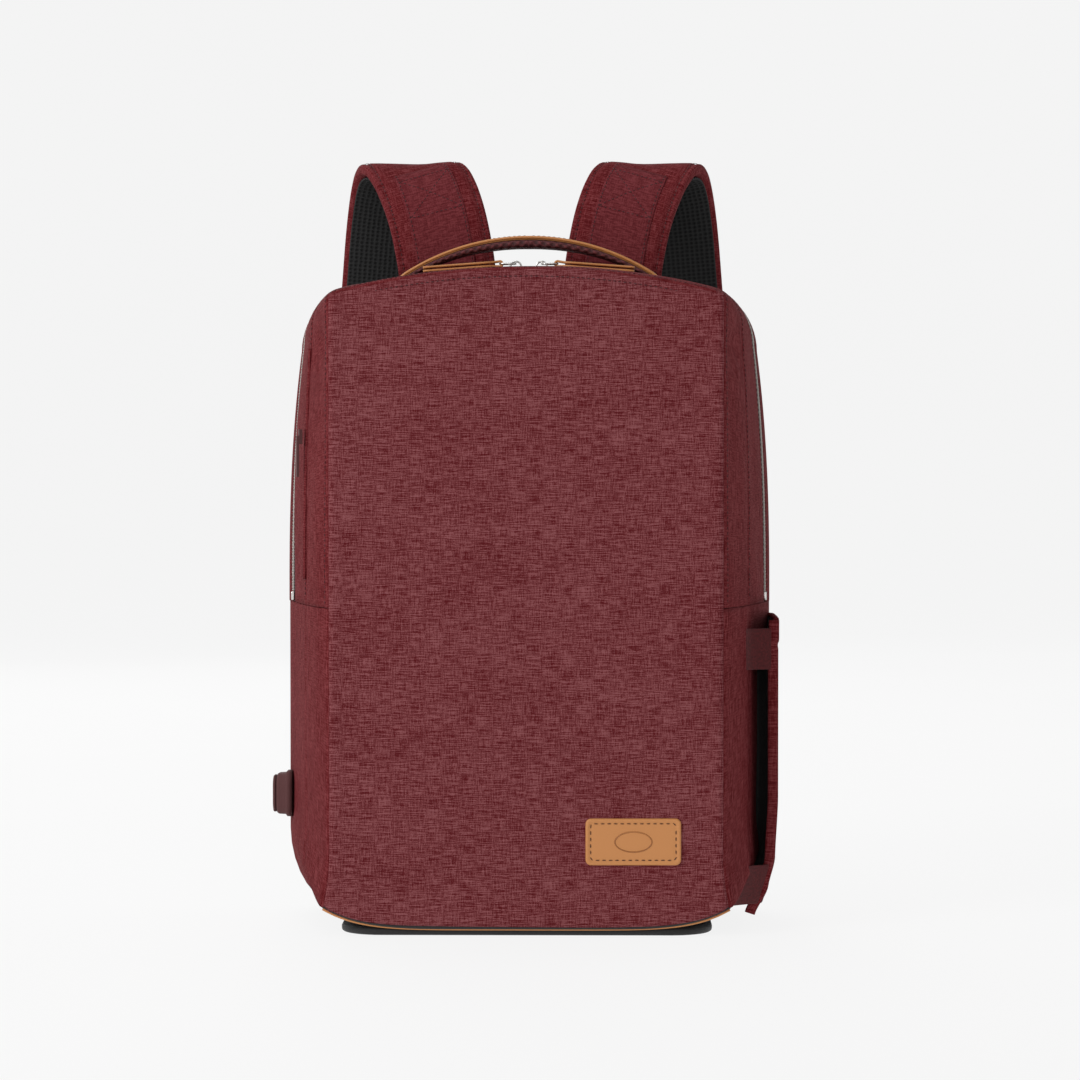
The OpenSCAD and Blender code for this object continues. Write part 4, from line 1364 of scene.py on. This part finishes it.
@dataclass
class BackPadding:
    """Back panel, mesh pads and the band that a trolley's handle passes under."""

    face: float = field(default_factory=lambda: SHAPE.back_y)
    thick: float = 11.5 * MM
    voxel: float = 5 * MM
    most: float = 4 * MM

    def stuffed(self, outline: Points, centre: Vector) -> bmesh.types.BMesh:
        """Args:
            outline: its outline in X and Z.
            centre: its middle, on the back panel.

        Returns:
            The pad's mesh.
        """
        bm = bmesh.new()
        base = bm.faces.new([bm.verts.new(p + centre) for p in outline])
        grown = bmesh.ops.extrude_face_region(bm, geom=[base])["geom"]
        raised = [g for g in grown if isinstance(g, bmesh.types.BMVert)]
        bmesh.ops.translate(bm, vec=(0, self.thick - 3 * MM, 0), verts=raised)
        bmesh.ops.recalc_face_normals(bm, faces=bm.faces)
        mesh = bpy.data.meshes.new("stuffing")
        bm.to_mesh(mesh)
        bm.free()
        pad = bpy.data.objects.new("stuffing", mesh)
        bpy.context.scene.collection.objects.link(pad)
        remesh = pad.modifiers.new("remesh", "REMESH")
        remesh.mode, remesh.voxel_size = "VOXEL", self.voxel
        pad.data = bpy.data.meshes.new_from_object(pad.evaluated_get(bpy.context.evaluated_depsgraph_get()))
        pad.modifiers.clear()
        start = [v.co.copy() for v in pad.data.vertices]
        cloth = pad.modifiers.new("cloth", "CLOTH")
        cloth.settings.use_pressure = True
        cloth.settings.uniform_pressure_force = 4
        cloth.settings.effector_weights.gravity = 0
        cloth.settings.quality = 4
        scene = bpy.context.scene
        for step in range(1, 21):
            scene.frame_set(step)
        view = bpy.context.evaluated_depsgraph_get()
        swollen = bpy.data.meshes.new_from_object(pad.evaluated_get(view))
        pad.modifiers.clear()
        pad.data = swollen
        scene.frame_set(1)
        for v, old in zip(pad.data.vertices, start):
            move = v.co - old
            if move.length > self.most:
                v.co = old + move.normalized() * self.most
            v.co.y = max(self.face - 0.2 * MM, v.co.y)
        bm = bmesh.new()
        bm.from_mesh(pad.data)
        bpy.data.objects.remove(pad)
        return bm

    def pads(self) -> None:
        """Makes the two back pads and the lumbar pad, with their sewn channels."""
        cuts = (("back_pad", 104, 274, 20, at(63, 66, 210), (275, 225, 155, 110)),
                ("lumbar_pad", 204, 40, 16, at(0, 66, 39), ()))
        for name, wide, high, corner, centre, channels in cuts:
            filled = self.stuffed(rounded_plate(wide * MM, high * MM, corner * MM, 8), centre)
            bmesh.ops.subdivide_edges(filled, edges=filled.edges[:], cuts=1, use_grid_fill=True, smooth=0.6)
            for v in filled.verts:
                if v.co.y < self.face + 3 * MM:
                    continue
                press = max([bump_at(v.co.z - z * MM, 3.2 * MM) for z in channels] or [0.0])
                if name == "lumbar_pad":
                    press = max(bump_at(v.co.x - x * MM, 3.2 * MM) for x in (-52, 0, 52))
                v.co.y -= 4.5 * MM * press * smooth((v.co.y - self.face) / (8 * MM))
            bmesh.ops.smooth_vert(filled, verts=filled.verts, factor=0.4,
                                  use_axis_x=True, use_axis_y=True, use_axis_z=True)
            sides = [Side.RIGHT, Side.LEFT] if name == "back_pad" else [Side.RIGHT]
            for side in sides:
                bm = filled.copy()
                label = f"back_pad_{side.word}" if name == "back_pad" else name
                box_uv(bm)
                pad = hand_over(label, mirrored(bm, side), SPACER, Body.PACK, [label])
            filled.free()

    def panel(self) -> None:
        """Makes the back panel with its rolled edge and piping."""
        deep = SHAPE.back_y
        steps = ((60.2, 0.4), (62, 0.1), (64.6, 0.3), (65.9, 1.6), (66.0, 5), (65.6, 12), (65.8, 24))
        bm = loft([SHAPE.ring(SHAPE.wide_y, inset * MM, y * MM) for y, inset in steps])
        close_ends(bm)
        turn_out(bm)
        hand_over("back_panel", bm, BASE_CLOTH, Body.PACK, ["back_panel"])
        bm = tube([Vector((p.x, deep - 1.2 * MM, p.z)) for p in SHAPE.ring(SHAPE.wide_y, -0.4 * MM)],
                  1.5 * MM, Vector((0, 1, 0)), True)
        hand_over("back_piping", bm, BINDING, Body.PACK)

    def trolley_band(self) -> None:
        """Makes the band across the back, with rows of stitching near both its edges."""
        spots = ((141, 66.4), (136.5, 71), (130.5, 78), (124, 83.5), (112, 85.2), (60, 85.6), (0, 85.8))
        half = [at(x, y, 173) for x, y in spots]
        route = half + [at(-x, y, 173) for x, y in spots[-2::-1]]
        line = curve_through(route, 6)
        up = Vector((0, 0, 1))
        flat = pad_section(54 * MM, -1.1 * MM, 1.1 * MM, 7, 40)
        hand_over("luggage_strap", ribbon(line, lambda i: flat, up), WEBBING, Body.PACK,
                  ["luggage_strap"])
        for n, place in enumerate((-24, 24)):
            for k, out in enumerate((-1.15, 1.15)):
                thread = stitch_line(band_line(line[1:-1], place * MM, out * MM, up))
                hand_over(f"luggage_thread_{n}_{k}", thread, DARK_THREAD, Body.PACK)


@dataclass
class BottlePocket:
    """Stretch pocket on the right: outer panel, hem, pleat, floor and two tabs."""

    front: float = -27
    rear: float = 45
    low: float = 8
    high: float = 187
    skin: float = 150.8
    bends: tuple[tuple[float, float], ...] = ((78, 0), (42, 1.8), (25, 5.8), (8, 14))

    def inner_x(self, z: float) -> float:
        """Place of the panel's inner face at a height, in millimetres."""
        if z >= self.bends[0][0]:
            return self.skin
        for (z1, a), (z0, b) in zip(self.bends, self.bends[1:]):
            if z >= z0:
                return self.skin - mix(b, a, smooth((z - z0) / (z1 - z0)) * 0.5 + (z - z0) / (z1 - z0) * 0.5)
        return self.skin - self.bends[-1][1]

    def build(self) -> None:
        """Makes every piece of the pocket."""
        rows = []
        for r in range(91):
            z = mix(self.low, self.high, r / 90)
            row = []
            for c in range(41):
                y = mix(self.front, self.rear, c / 40)
                belly = 1.2 * math.sin(math.pi * c / 40) ** 0.8 * math.sin(math.pi * min(1, r / 90 + 0.08)) ** 0.6
                pull = noise.noise(Vector((y * 0.05, z * 0.03, 7))) * 0.7
                gather = 0.35 * math.sin(y * 1.15) * smooth((z - self.high + 25) / 18)
                hem = 0.5 * smooth((z - self.high + 14) / 1.5) - 0.7 * bump_at(z - self.high + 15, 1.0)
                tuck = 0.6 * bump_at(c, 1.5) + 3.4 * smooth((c - 33) / 7)
                row.append(at(self.inner_x(z) + 1.5 + belly + (pull + gather) * smooth(c / 6) + hem - tuck, y, z))
            rows.append(row)
        bm = loft(rows, closed=False)
        turn_out(bm, at(100, 0, 100))
        panel = hand_over("bottle_panel", bm, HEATHER_PAINTED_SHADE, Body.BOTTLE, ["bottle_panel"])
        sheet_of(panel, ((self.rear - self.front) * MM, (self.high - self.low) * MM))
        wall_of(panel, 1.7 * MM, LINING)
        hem = [rows[-1][c] + at(-0.8, 0, 0.2) for c in range(39)]
        hand_over("bottle_hem", tube(hem, 1.5 * MM, Vector((1, 0, 0))), HEATHER_PAINTED_SHADE, Body.BOTTLE)
        edge = [row[0] + at(-2.0, 0.6, 0) for row in rows]
        roll = [(x, n) for x, n in pad_section(6.4 * MM, -1.5 * MM, 1.5 * MM, 2.6, 18)]
        hand_over("bottle_edge", ribbon(edge, lambda i: roll), HEATHER_PAINTED_SHADE, Body.BOTTLE)
        thread = stitch_line([spot + at(0.1, 0, 0) for spot in rows[83][:33]])
        hand_over("bottle_thread", thread, DARK_THREAD, Body.BOTTLE)
        self.pleat()
        self.tab("bottle_tab_top", (157, 182), ((151.2, -17), (151.0, -22), (149.4, -26.2), (145.6, -28.4),
                                                (140, -30.6), (135.4, -33), (131.8, -36.5)))
        self.tab("bottle_tab_bottom", (14, 38), ((146.6, -17), (146.4, -22), (144.6, -26.4), (141.2, -29),
                                                 (136.4, -32), (131.8, -35.5), (127.6, -39.5)), 0.3)

    def pleat(self) -> None:
        """Makes the black pleat along the front edge and the pocket's floor."""
        folds = ((138.6, -7), (141.5, -3.5), (144.5, 2.5), (148, -2), (151.2, -6.5))
        rows = []
        for r in range(41):
            z = mix(15, 158, r / 40)
            shift = self.inner_x(z) - self.skin
            rows.append([at(x + shift * (1 if x > 142 else 0.8), y, z) for x, y in folds])
        bm = loft(rows, closed=False)
        turn_out(bm, at(142, 30, 100))
        pleat = hand_over("bottle_pleat", bm, ELASTIC, "", ["bottle_gusset"])
        sheet_of(pleat, (22.5 * MM, 143 * MM))
        wall_of(pleat, 0.8 * MM)
        reach = self.inner_x(18) + 1
        rows = [[at(mix(133, reach, c / 6), mix(-6, 42, r / 20), 18.5 - 1.5 * math.sin(math.pi * c / 6))
                 for c in range(7)] for r in range(21)]
        bm = loft(rows, closed=False)
        turn_out(bm, at(140, 10, 60))
        floor = hand_over("bottle_floor", bm, ELASTIC, "", ["bottle_gusset"])
        sheet_of(floor, (10 * MM, 48 * MM))
        wall_of(floor, 0.8 * MM)
        for piece in (pleat, floor):
            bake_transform(piece)

    def tab(self, name: str, heights: tuple[float, float], spots: Sequence[tuple[float, float]],
            lean: float = 0.0) -> None:
        """Makes an elastic tab that is folded over the front corner.

        Args:
            name: its name.
            heights: its lower and upper ends, in millimetres.
            spots: its route seen from above, in millimetres.
            lean: how far it leans outward for each unit of height.
        """
        middle = (heights[0] + heights[1]) / 2
        line = curve_through([at(x, y, middle) for x, y in spots], 5)
        tall = (heights[1] - heights[0]) * MM
        flat = pad_section(tall, -0.7 * MM, 0.7 * MM, 6, 30)
        bm = ribbon(line, lambda i: flat, Vector((0, 0, 1)))
        for v in bm.verts:
            v.co.x += lean * (v.co.z - middle * MM)
        piece = hand_over(name, bm, TAB_CLOTH, "", [name])
        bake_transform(piece)


@dataclass
class ChargingPort:
    """Moulded port on the left with its hinged cap."""

    y: float = 28
    z: float = 76
    wide: float = 20
    high: float = 26

    def ring(self, x: float, trim: float, size: tuple[float, float] | None = None, drop: float = 0) -> list[Vector]:
        """Rounded outline at a place along X, in millimetres."""
        wide, high = size or (self.wide - 2 * trim, self.high - 2 * trim)
        corner = min(wide, high) * 0.36
        return [Vector((x * MM, self.y * MM + p.x, (self.z + drop) * MM + p.z))
                for p in rounded_plate(wide * MM, high * MM, corner * MM, 7)]

    def build(self) -> None:
        """Makes the housing and its cap."""
        mouth = (14.6, 7.6)
        rings = [self.ring(-147.5, -1.4), self.ring(-150.6, -1.3), self.ring(-151.2, -0.7), self.ring(-151.6, 0),
                 self.ring(-155.6, 0.2), self.ring(-156.9, 0.9), self.ring(-157.4, 2.0),
                 self.ring(-157.4, 0, mouth, -0.25), self.ring(-156.4, 0, mouth, -0.25),
                 self.ring(-151.8, 0, mouth, -0.25)]
        bm = loft(rings)
        close_ends(bm)
        turn_out(bm)
        hand_over("usb_housing", bm, PORT_RUBBER, Body.PACK, ["usb_housing"])
        bm = loft([self.ring(-157.7, 2.2), self.ring(-157.7, 1.6), self.ring(-158.8, 1.5), self.ring(-159.4, 2.1),
                   self.ring(-159.6, 3.4), self.ring(-159.4, 4.6), self.ring(-159.4, 5.5)])
        close_ends(bm)
        turn_out(bm)
        hand_over("usb_cap", bm, PORT_RUBBER, Body.CAP, ["usb_cap"])


@dataclass
class Inside:
    """Linings and pockets inside the bag."""

    def rows(self, y: float, low: float, high: float, inset: float) -> list[list[Vector]]:
        """Rows of points across the bag at a depth, between two heights."""
        outline = [(p.x, p.z) for p in SHAPE.ring(y, inset) if p.x >= -1e-9]
        outline = sorted(outline, key=lambda q: q[1])
        rows = []
        for r in range(41):
            z = mix(low, high, r / 40)
            near = min(range(len(outline)), key=lambda k: abs(outline[k][1] - z))
            half = max(outline[near][0], 6 * MM)
            row = []
            for c in range(29):
                x = mix(-half, half, c / 28)
                slack = noise.noise(Vector((x * 12, 1.7, z * 12))) * 1.1 * MM
                row.append(Vector((x, y + slack, z)))
            rows.append(row)
        return rows

    def dividers(self) -> None:
        """Makes the two lining panels behind the front pocket."""
        y = SHAPE.fold_y + 0.9 * MM
        for name, low, high, body in (("divider_lower", 9 * MM, 195.2 * MM, Body.PACK),
                                      ("divider_upper", 196.6 * MM, 388 * MM, Body.LID)):
            bm = loft(self.rows(y, low, high, 3.4 * MM), closed=False)
            turn_out(bm, Vector((0, -0.2, 0.2)))
            piece = hand_over(name, bm, LINING, body, [name])
            sheet_of(piece, (262 * MM, high - low))
            wall_of(piece, 0.8 * MM)
        bm = loft(self.rows(57.4 * MM, 9 * MM, 392 * MM, 5 * MM), closed=False)
        turn_out(bm, Vector((0, 0.3, 0.2)))
        piece = hand_over("back_lining", bm, LINING, Body.PACK)
        sheet_of(piece, (290 * MM, 383 * MM))
        wall_of(piece, 0.5 * MM)

    def pocket(self, name: str, body: Body, half: float, wall: float, face: float, low: float, high: float,
               finish: Finish, skin: float) -> None:
        """Makes a flat pocket that is open at the top and bound along its edge.

        Args:
            name: the CAD node that it stands for.
            body: the body it rides on.
            half: half its width, in millimetres, as are all the other sizes.
            wall: depth of the panel that it is sewn to.
            face: depth of its outer face.
            low: height of its lower edge.
            high: height of its opening.
            finish: its cloth.
            skin: thickness of its cloth.
        """
        turn = math.copysign(min(4.0, abs(wall - face) * 0.6), wall - face)
        spots = [(-half, wall), (-half, face + turn), (-half + 0.35 * abs(turn), face + 0.3 * turn),
                 (-half + abs(turn), face)]
        spots += [(mix(-half + abs(turn), half - abs(turn), k / 20), face) for k in range(1, 20)]
        spots += [(-x, y) for x, y in reversed(spots[:4])]
        rows = []
        for r in range(31):
            z = mix(low, high, r / 30)
            slack = 1.1 * math.sin(math.pi * r / 30) * (1 if face < wall else -1)
            row = []
            for x, y in spots:
                soft = slack * max(0.0, 1 - (x / half) ** 2) * (1 if abs(y - face) < 0.1 else 0)
                fold = noise.noise(Vector((x * 0.03, z * 0.03, half))) * 0.5 if abs(y - face) < 0.1 else 0
                row.append(at(x, y + min(0.4, max(-0.4, soft)) + fold * 0.5, z))
            rows.append(row)
        bm = loft(rows, closed=False)
        turn_out(bm, at(0, wall + (wall - face), (low + high) / 2))
        piece = hand_over(name, bm, finish, body, [name])
        sheet_of(piece, ((2 * half + 2 * abs(wall - face)) * MM, (high - low) * MM))
        wall_of(piece, skin * MM)
        rim = tube([p.copy() for p in rows[-1]], 1.5 * MM, Vector((0, 0, 1)), points=12)
        hand_over(f"{name}_binding", rim, BINDING, body)

    def build(self) -> None:
        """Makes the linings, the pockets and the webs beside the opening."""
        self.dividers()
        self.pocket("laptop_sleeve", Body.PACK, 132.5, 58.0, 34.2, 33, 288, LINING, 1.2)
        self.pocket("tablet_pocket", Body.PACK, 99, 32.2, 26.2, 41, 213, LINING, 1.0)
        self.pocket("mesh_pocket", Body.LID, 89, -27.9, -22, 226, 333, FINE_MESH, 0.6)
        for side in Side:
            rows = []
            for r in range(25):
                z = mix(159 * MM, 233 * MM, r / 24)
                row = []
                for c in range(15):
                    y = mix(-27, 22, c / 14) * MM
                    bow = 0.6 * MM * bump_at(z - SHAPE.seam_z, 20 * MM)
                    row.append(Vector((SHAPE.side_x(y) - 4.6 * MM - bow, y, z)))
                rows.append(row)
            bm = loft(rows, closed=False)
            turn_out(bm, Vector((0, 0, 0.2)))
            web = hand_over(f"side_web_{side.word}", mirrored(bm, side), LINING, "")
            sheet_of(web, (50 * MM, 74 * MM))
            wall_of(web, 0.6 * MM)
            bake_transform(web)


@dataclass
class Trim:
    """Base, piping, badge, seams and the small side zip."""

    badge_size: tuple[float, float] = (57 * MM, 28 * MM)
    badge_middle: Vector = field(default_factory=lambda: at(64, -75, 57))

    def base(self) -> None:
        """Makes the base panel and the tan piping along the front panel's lower edge."""
        rings = []
        for z, trim in ((0, 3), (0, 1.2), (0.6, 0.3), (1.6, 0), (3.2, 0), (4.4, 0.8), (4.6, 4)):
            plate = rounded_plate((224 - 2 * trim) * MM, (128 - 2 * trim) * MM, (25 - trim) * MM, 10)
            rings.append([Vector((p.x, p.z - 6 * MM, z * MM)) for p in plate])
        bm = loft(rings)
        close_ends(bm)
        turn_out(bm)
        hand_over("base_panel", bm, BASE_CLOTH, Body.PACK, ["base_panel"])
        ring = SHAPE.ring(SHAPE.front_y, 0.2 * MM)
        reach = SHAPE.counts[0]
        line = [ring[i] + Vector((0, 4.4 * MM, -0.3 * MM)) for i in range(-reach, reach + 1)]
        hand_over("base_piping", tube(curve_through(line, 2), 0.8 * MM, Vector((0, 1, 0))), TAN,
                  Body.PACK, ["base_piping"])

    def badge(self, body: SewnBody) -> None:
        """Makes the blank leather badge with a raised rim, running stitch and a plain pressed oval.

        Args:
            body: the bag, whose front the badge follows.
        """
        wide, high = self.badge_size
        middle = self.badge_middle

        def on_front(p: Vector, lift: float) -> Vector:
            """Point of the badge over the front cloth."""
            x, z = middle.x + p.x, middle.z + p.z
            return Vector((x, SHAPE.front_y - body.belly(x, z) - lift, z))

        rings = []
        for trim, lift in ((0, -0.6), (0, 1.0), (0.25, 1.5), (0.8, 1.8), (1.8, 1.8), (2.3, 1.45), (3.1, 1.35),
                           (3.9, 1.45), (6, 1.5), (9, 1.5)):
            plate = rounded_plate(wide - 2 * trim * MM, high - 2 * trim * MM, max(0.6, 3.4 - trim * 0.6) * MM, 6)
            rings.append([on_front(p, lift * MM) for p in plate])
        bm = loft(rings)
        close_ends(bm)
        turn_out(bm)
        hand_over("badge", bm, TAN, Body.PACK, ["badge"])
        seam = [on_front(p, 1.5 * MM) for p in rounded_plate(wide - 6.2 * MM, high - 6.2 * MM, 2 * MM, 6)]
        thread = stitch_line([*seam, seam[0]], 3.9 * MM, 2.7 * MM, 0.34 * MM)
        hand_over("badge_stitches", thread, BROWN_THREAD, Body.PACK)
        oval = [on_front(Vector((11 * MM * math.cos(a), 0, 6 * MM * math.sin(a))), 1.42 * MM)
                for a in (2 * math.pi * k / 48 for k in range(48))]
        groove = tube(oval, 0.42 * MM, Vector((0, 1, 0)), True, 8)
        hand_over("badge_oval", groove, EMBOSS, Body.PACK)

    def side_zip(self) -> None:
        """Makes the slim zip beside the left fold seam, with its teeth."""
        y0, y1, z0, z1 = -28 * MM, -23 * MM, 212 * MM, 352 * MM
        rows = []
        for r in range(31):
            z = mix(z0, z1, r / 30)
            row = []
            for c in range(9):
                y = mix(y0, y1, c / 8)
                edge = self.wall_x(y, z)
                lip = bump_at(c - 2.6, 1.5) + bump_at(c - 6.2, 1.5)
                lift = 0.2 * MM + 1.1 * MM * lip * smooth(c / 1.5) * smooth((8 - c) / 1.5)
                row.append(Vector((-edge - lift, y, z)))
            rows.append(row)
        bm = loft(rows, closed=False)
        turn_out(bm, Vector((0, 0, 0.28)))
        piece = hand_over("side_zip", bm, HEATHER_PAINTED_SHADE, Body.LID, ["side_zip"])
        wall_of(piece, 0.6 * MM)
        bm = bmesh.new()
        for spot, _ in walk([row[4] for row in rows], 1.2 * MM):
            add_box(bm, spot - at(0.5, 0.5, 0.35), spot + at(0.1, 0.5, 0.35))
        hand_over("side_zip_teeth", bm, PORT_RUBBER, Body.LID)

    @staticmethod
    def wall_x(y: float, z: float) -> float:
        """Half width of the bag at a depth and a height."""
        return min((p for p in SHAPE.ring(y) if p.x > 0), key=lambda p: abs(p.z - z)).x

    def seams(self, skins: dict[str, BVHTree], zip_row: MainZip) -> None:
        """Sews the topstitching beside the seams.

        Args:
            skins: the surfaces that the stitches lie on, by the piece's name.
            zip_row: the main zip, whose edges are stitched.
        """
        low = SHAPE.seam_z + 2 * MM
        runs = (("lid_front_seam", zip_row.arch(-69.5 * MM, 1 * MM, low), "upper_wall", Body.LID),
                ("lid_zip_seam", zip_row.arch(23.2 * MM, 1 * MM, low), "upper_wall", Body.LID),
                ("rear_zip_seam", zip_row.arch(36.8 * MM, 1 * MM, low - 2 * MM), "rear_wall", Body.PACK),
                ("lid_fold_seam", zip_row.arch(-27.6 * MM, 1 * MM, low), "upper_wall", Body.LID))
        for name, line, skin, body in runs:
            settled = []
            for p in line:
                spot, normal, _, _ = skins[skin].find_nearest(p)
                away = normal if normal.dot(p - at(0, p.y * 1000, 250)) > 0 else -normal
                settled.append(spot + away * 0.12 * MM)
            hand_over(name, stitch_line(settled, 3.1 * MM, 2.1 * MM, 0.26 * MM), DARK_THREAD, body)


@dataclass
class Studio:
    """Camera, soft light and pale floor."""

    target: Vector = field(default_factory=lambda: Vector((7.4 * MM, 0, 235 * MM)))
    distance: float = 2.2
    azimuth: float = 0.75
    elevation: float = 1.4
    lens: float = 119.0

    def camera(self) -> None:
        """Sets up the camera."""
        az, el = math.radians(self.azimuth), math.radians(self.elevation)
        back = Vector((math.sin(az) * math.cos(el), -math.cos(az) * math.cos(el), math.sin(el)))
        data = bpy.data.cameras.new("camera")
        data.lens = self.lens
        data.sensor_width = 36
        data.clip_end = 50
        eye = bpy.data.objects.new("camera", data)
        eye.location = self.target + back * self.distance
        eye.rotation_euler = back.to_track_quat("Z", "Y").to_euler()
        bpy.context.scene.collection.objects.link(eye)
        bpy.context.scene.camera = eye

    def lamp(self, name: str, place: tuple[float, float, float], size: float, power: float) -> None:
        """Adds a soft square lamp that looks at the pack."""
        data = bpy.data.lights.new(name, "AREA")
        data.size = size
        data.energy = power
        lamp = bpy.data.objects.new(name, data)
        lamp.location = place
        aim = Vector(place) - Vector((0, 0, 0.22))
        lamp.rotation_euler = aim.to_track_quat("Z", "Y").to_euler()
        bpy.context.scene.collection.objects.link(lamp)

    def light(self) -> None:
        """Sets up the lamps and the room's own glow."""
        self.lamp("key", (-2.1, -1.8, 1.7), 1.2, 52)
        self.lamp("fill", (0.2, -2.5, 1.6), 1.2, 6)
        self.lamp("top", (-0.4, 0.1, 2.4), 1.2, 12)
        self.lamp("rear", (-0.6, 2.4, 1.2), 1.2, 14)
        world = bpy.data.worlds.new("room")
        world.use_nodes = True
        glow = world.node_tree.nodes["Background"]
        glow.inputs["Color"].default_value = (1, 1, 1, 1)
        glow.inputs["Strength"].default_value = 0.18
        bpy.context.scene.world = world

    def floor(self) -> None:
        """Makes the round pale sweep that the pack stands on, high behind the pack and low in front of it."""
        rows = []
        for k in range(65):
            a = math.radians(360 * k / 64)
            tall = mix(1500, 5600, smooth((math.cos(a) + 0.1) / 0.7))
            turns = [math.radians(90 * n / 10) for n in range(11)]
            spots = [(0, 0), (1500, 0)] + [(3000 + 1200 * math.sin(t), 1200 * (1 - math.cos(t))) for t in turns]
            rows.append([at(r * math.sin(a), r * math.cos(a), z) for r, z in spots + [(4200, tall)]])
        bm = loft(rows, closed=False)
        bmesh.ops.remove_doubles(bm, verts=bm.verts[:], dist=0.1 * MM)
        turn_out(bm, at(0, 0, -3000))
        mesh = bpy.data.meshes.new("floor")
        bm.to_mesh(mesh)
        bm.free()
        for polygon in mesh.polygons:
            polygon.use_smooth = True
        s = Shader("pale_floor")
        tint = s.speckle((1.5, 1.5, 1.5), 2, "Object")
        pale = s.ramp(tint, ((0.3, (0.055, 0.055, 0.055)), (0.7, (0.060, 0.060, 0.060))))
        s.join(pale, s.skin.inputs["Base Color"])
        s.skin.inputs["Roughness"].default_value = 0.95
        s.skin.inputs["Specular IOR Level"].default_value = 0.1
        s.skin.inputs["Emission Color"].default_value = (1, 1, 1, 1)
        s.skin.inputs["Emission Strength"].default_value = 0.86
        mesh.materials.append(s.material)
        floor = bpy.data.objects.new("floor", mesh)
        bpy.context.scene.collection.objects.link(floor)


def dress_hard_parts() -> None:
    """Gives the hard parts that keep their own shape their finishes."""
    hard = {"ladder_lock": ACETAL, "usb_socket": NICKEL, "frame_sheet": SHEET_PLASTIC,
            "side_slider": PORT_RUBBER}
    for obj in bpy.data.objects:
        for start, finish in hard.items():
            if obj.name.startswith(start) and obj.type == "MESH":
                obj.data.materials.clear()
                obj.data.materials.append(finish.material())


def main() -> None:
    """Builds the whole pack and the studio."""
    logging.basicConfig(level=logging.INFO, format="%(message)s")
    studio = Studio()
    studio.camera()
    studio.light()
    studio.floor()
    body = SewnBody()
    body.walls()
    body.front_panel()
    zip_row = MainZip()
    zip_row.tapes()
    zip_row.teeth()
    zip_row.sliders()
    GrabHandle().build()
    ShoulderStraps().build()
    back = BackPadding()
    back.panel()
    back.pads()
    back.trolley_band()
    BottlePocket().build()
    ChargingPort().build()
    Inside().build()
    trim = Trim()
    trim.base()
    trim.badge(body)
    trim.side_zip()
    trim.seams(body.skins, zip_row)
    dress_hard_parts()
    bpy.context.scene.view_settings.view_transform = "Standard"


if __name__ == "__main__":
    main()
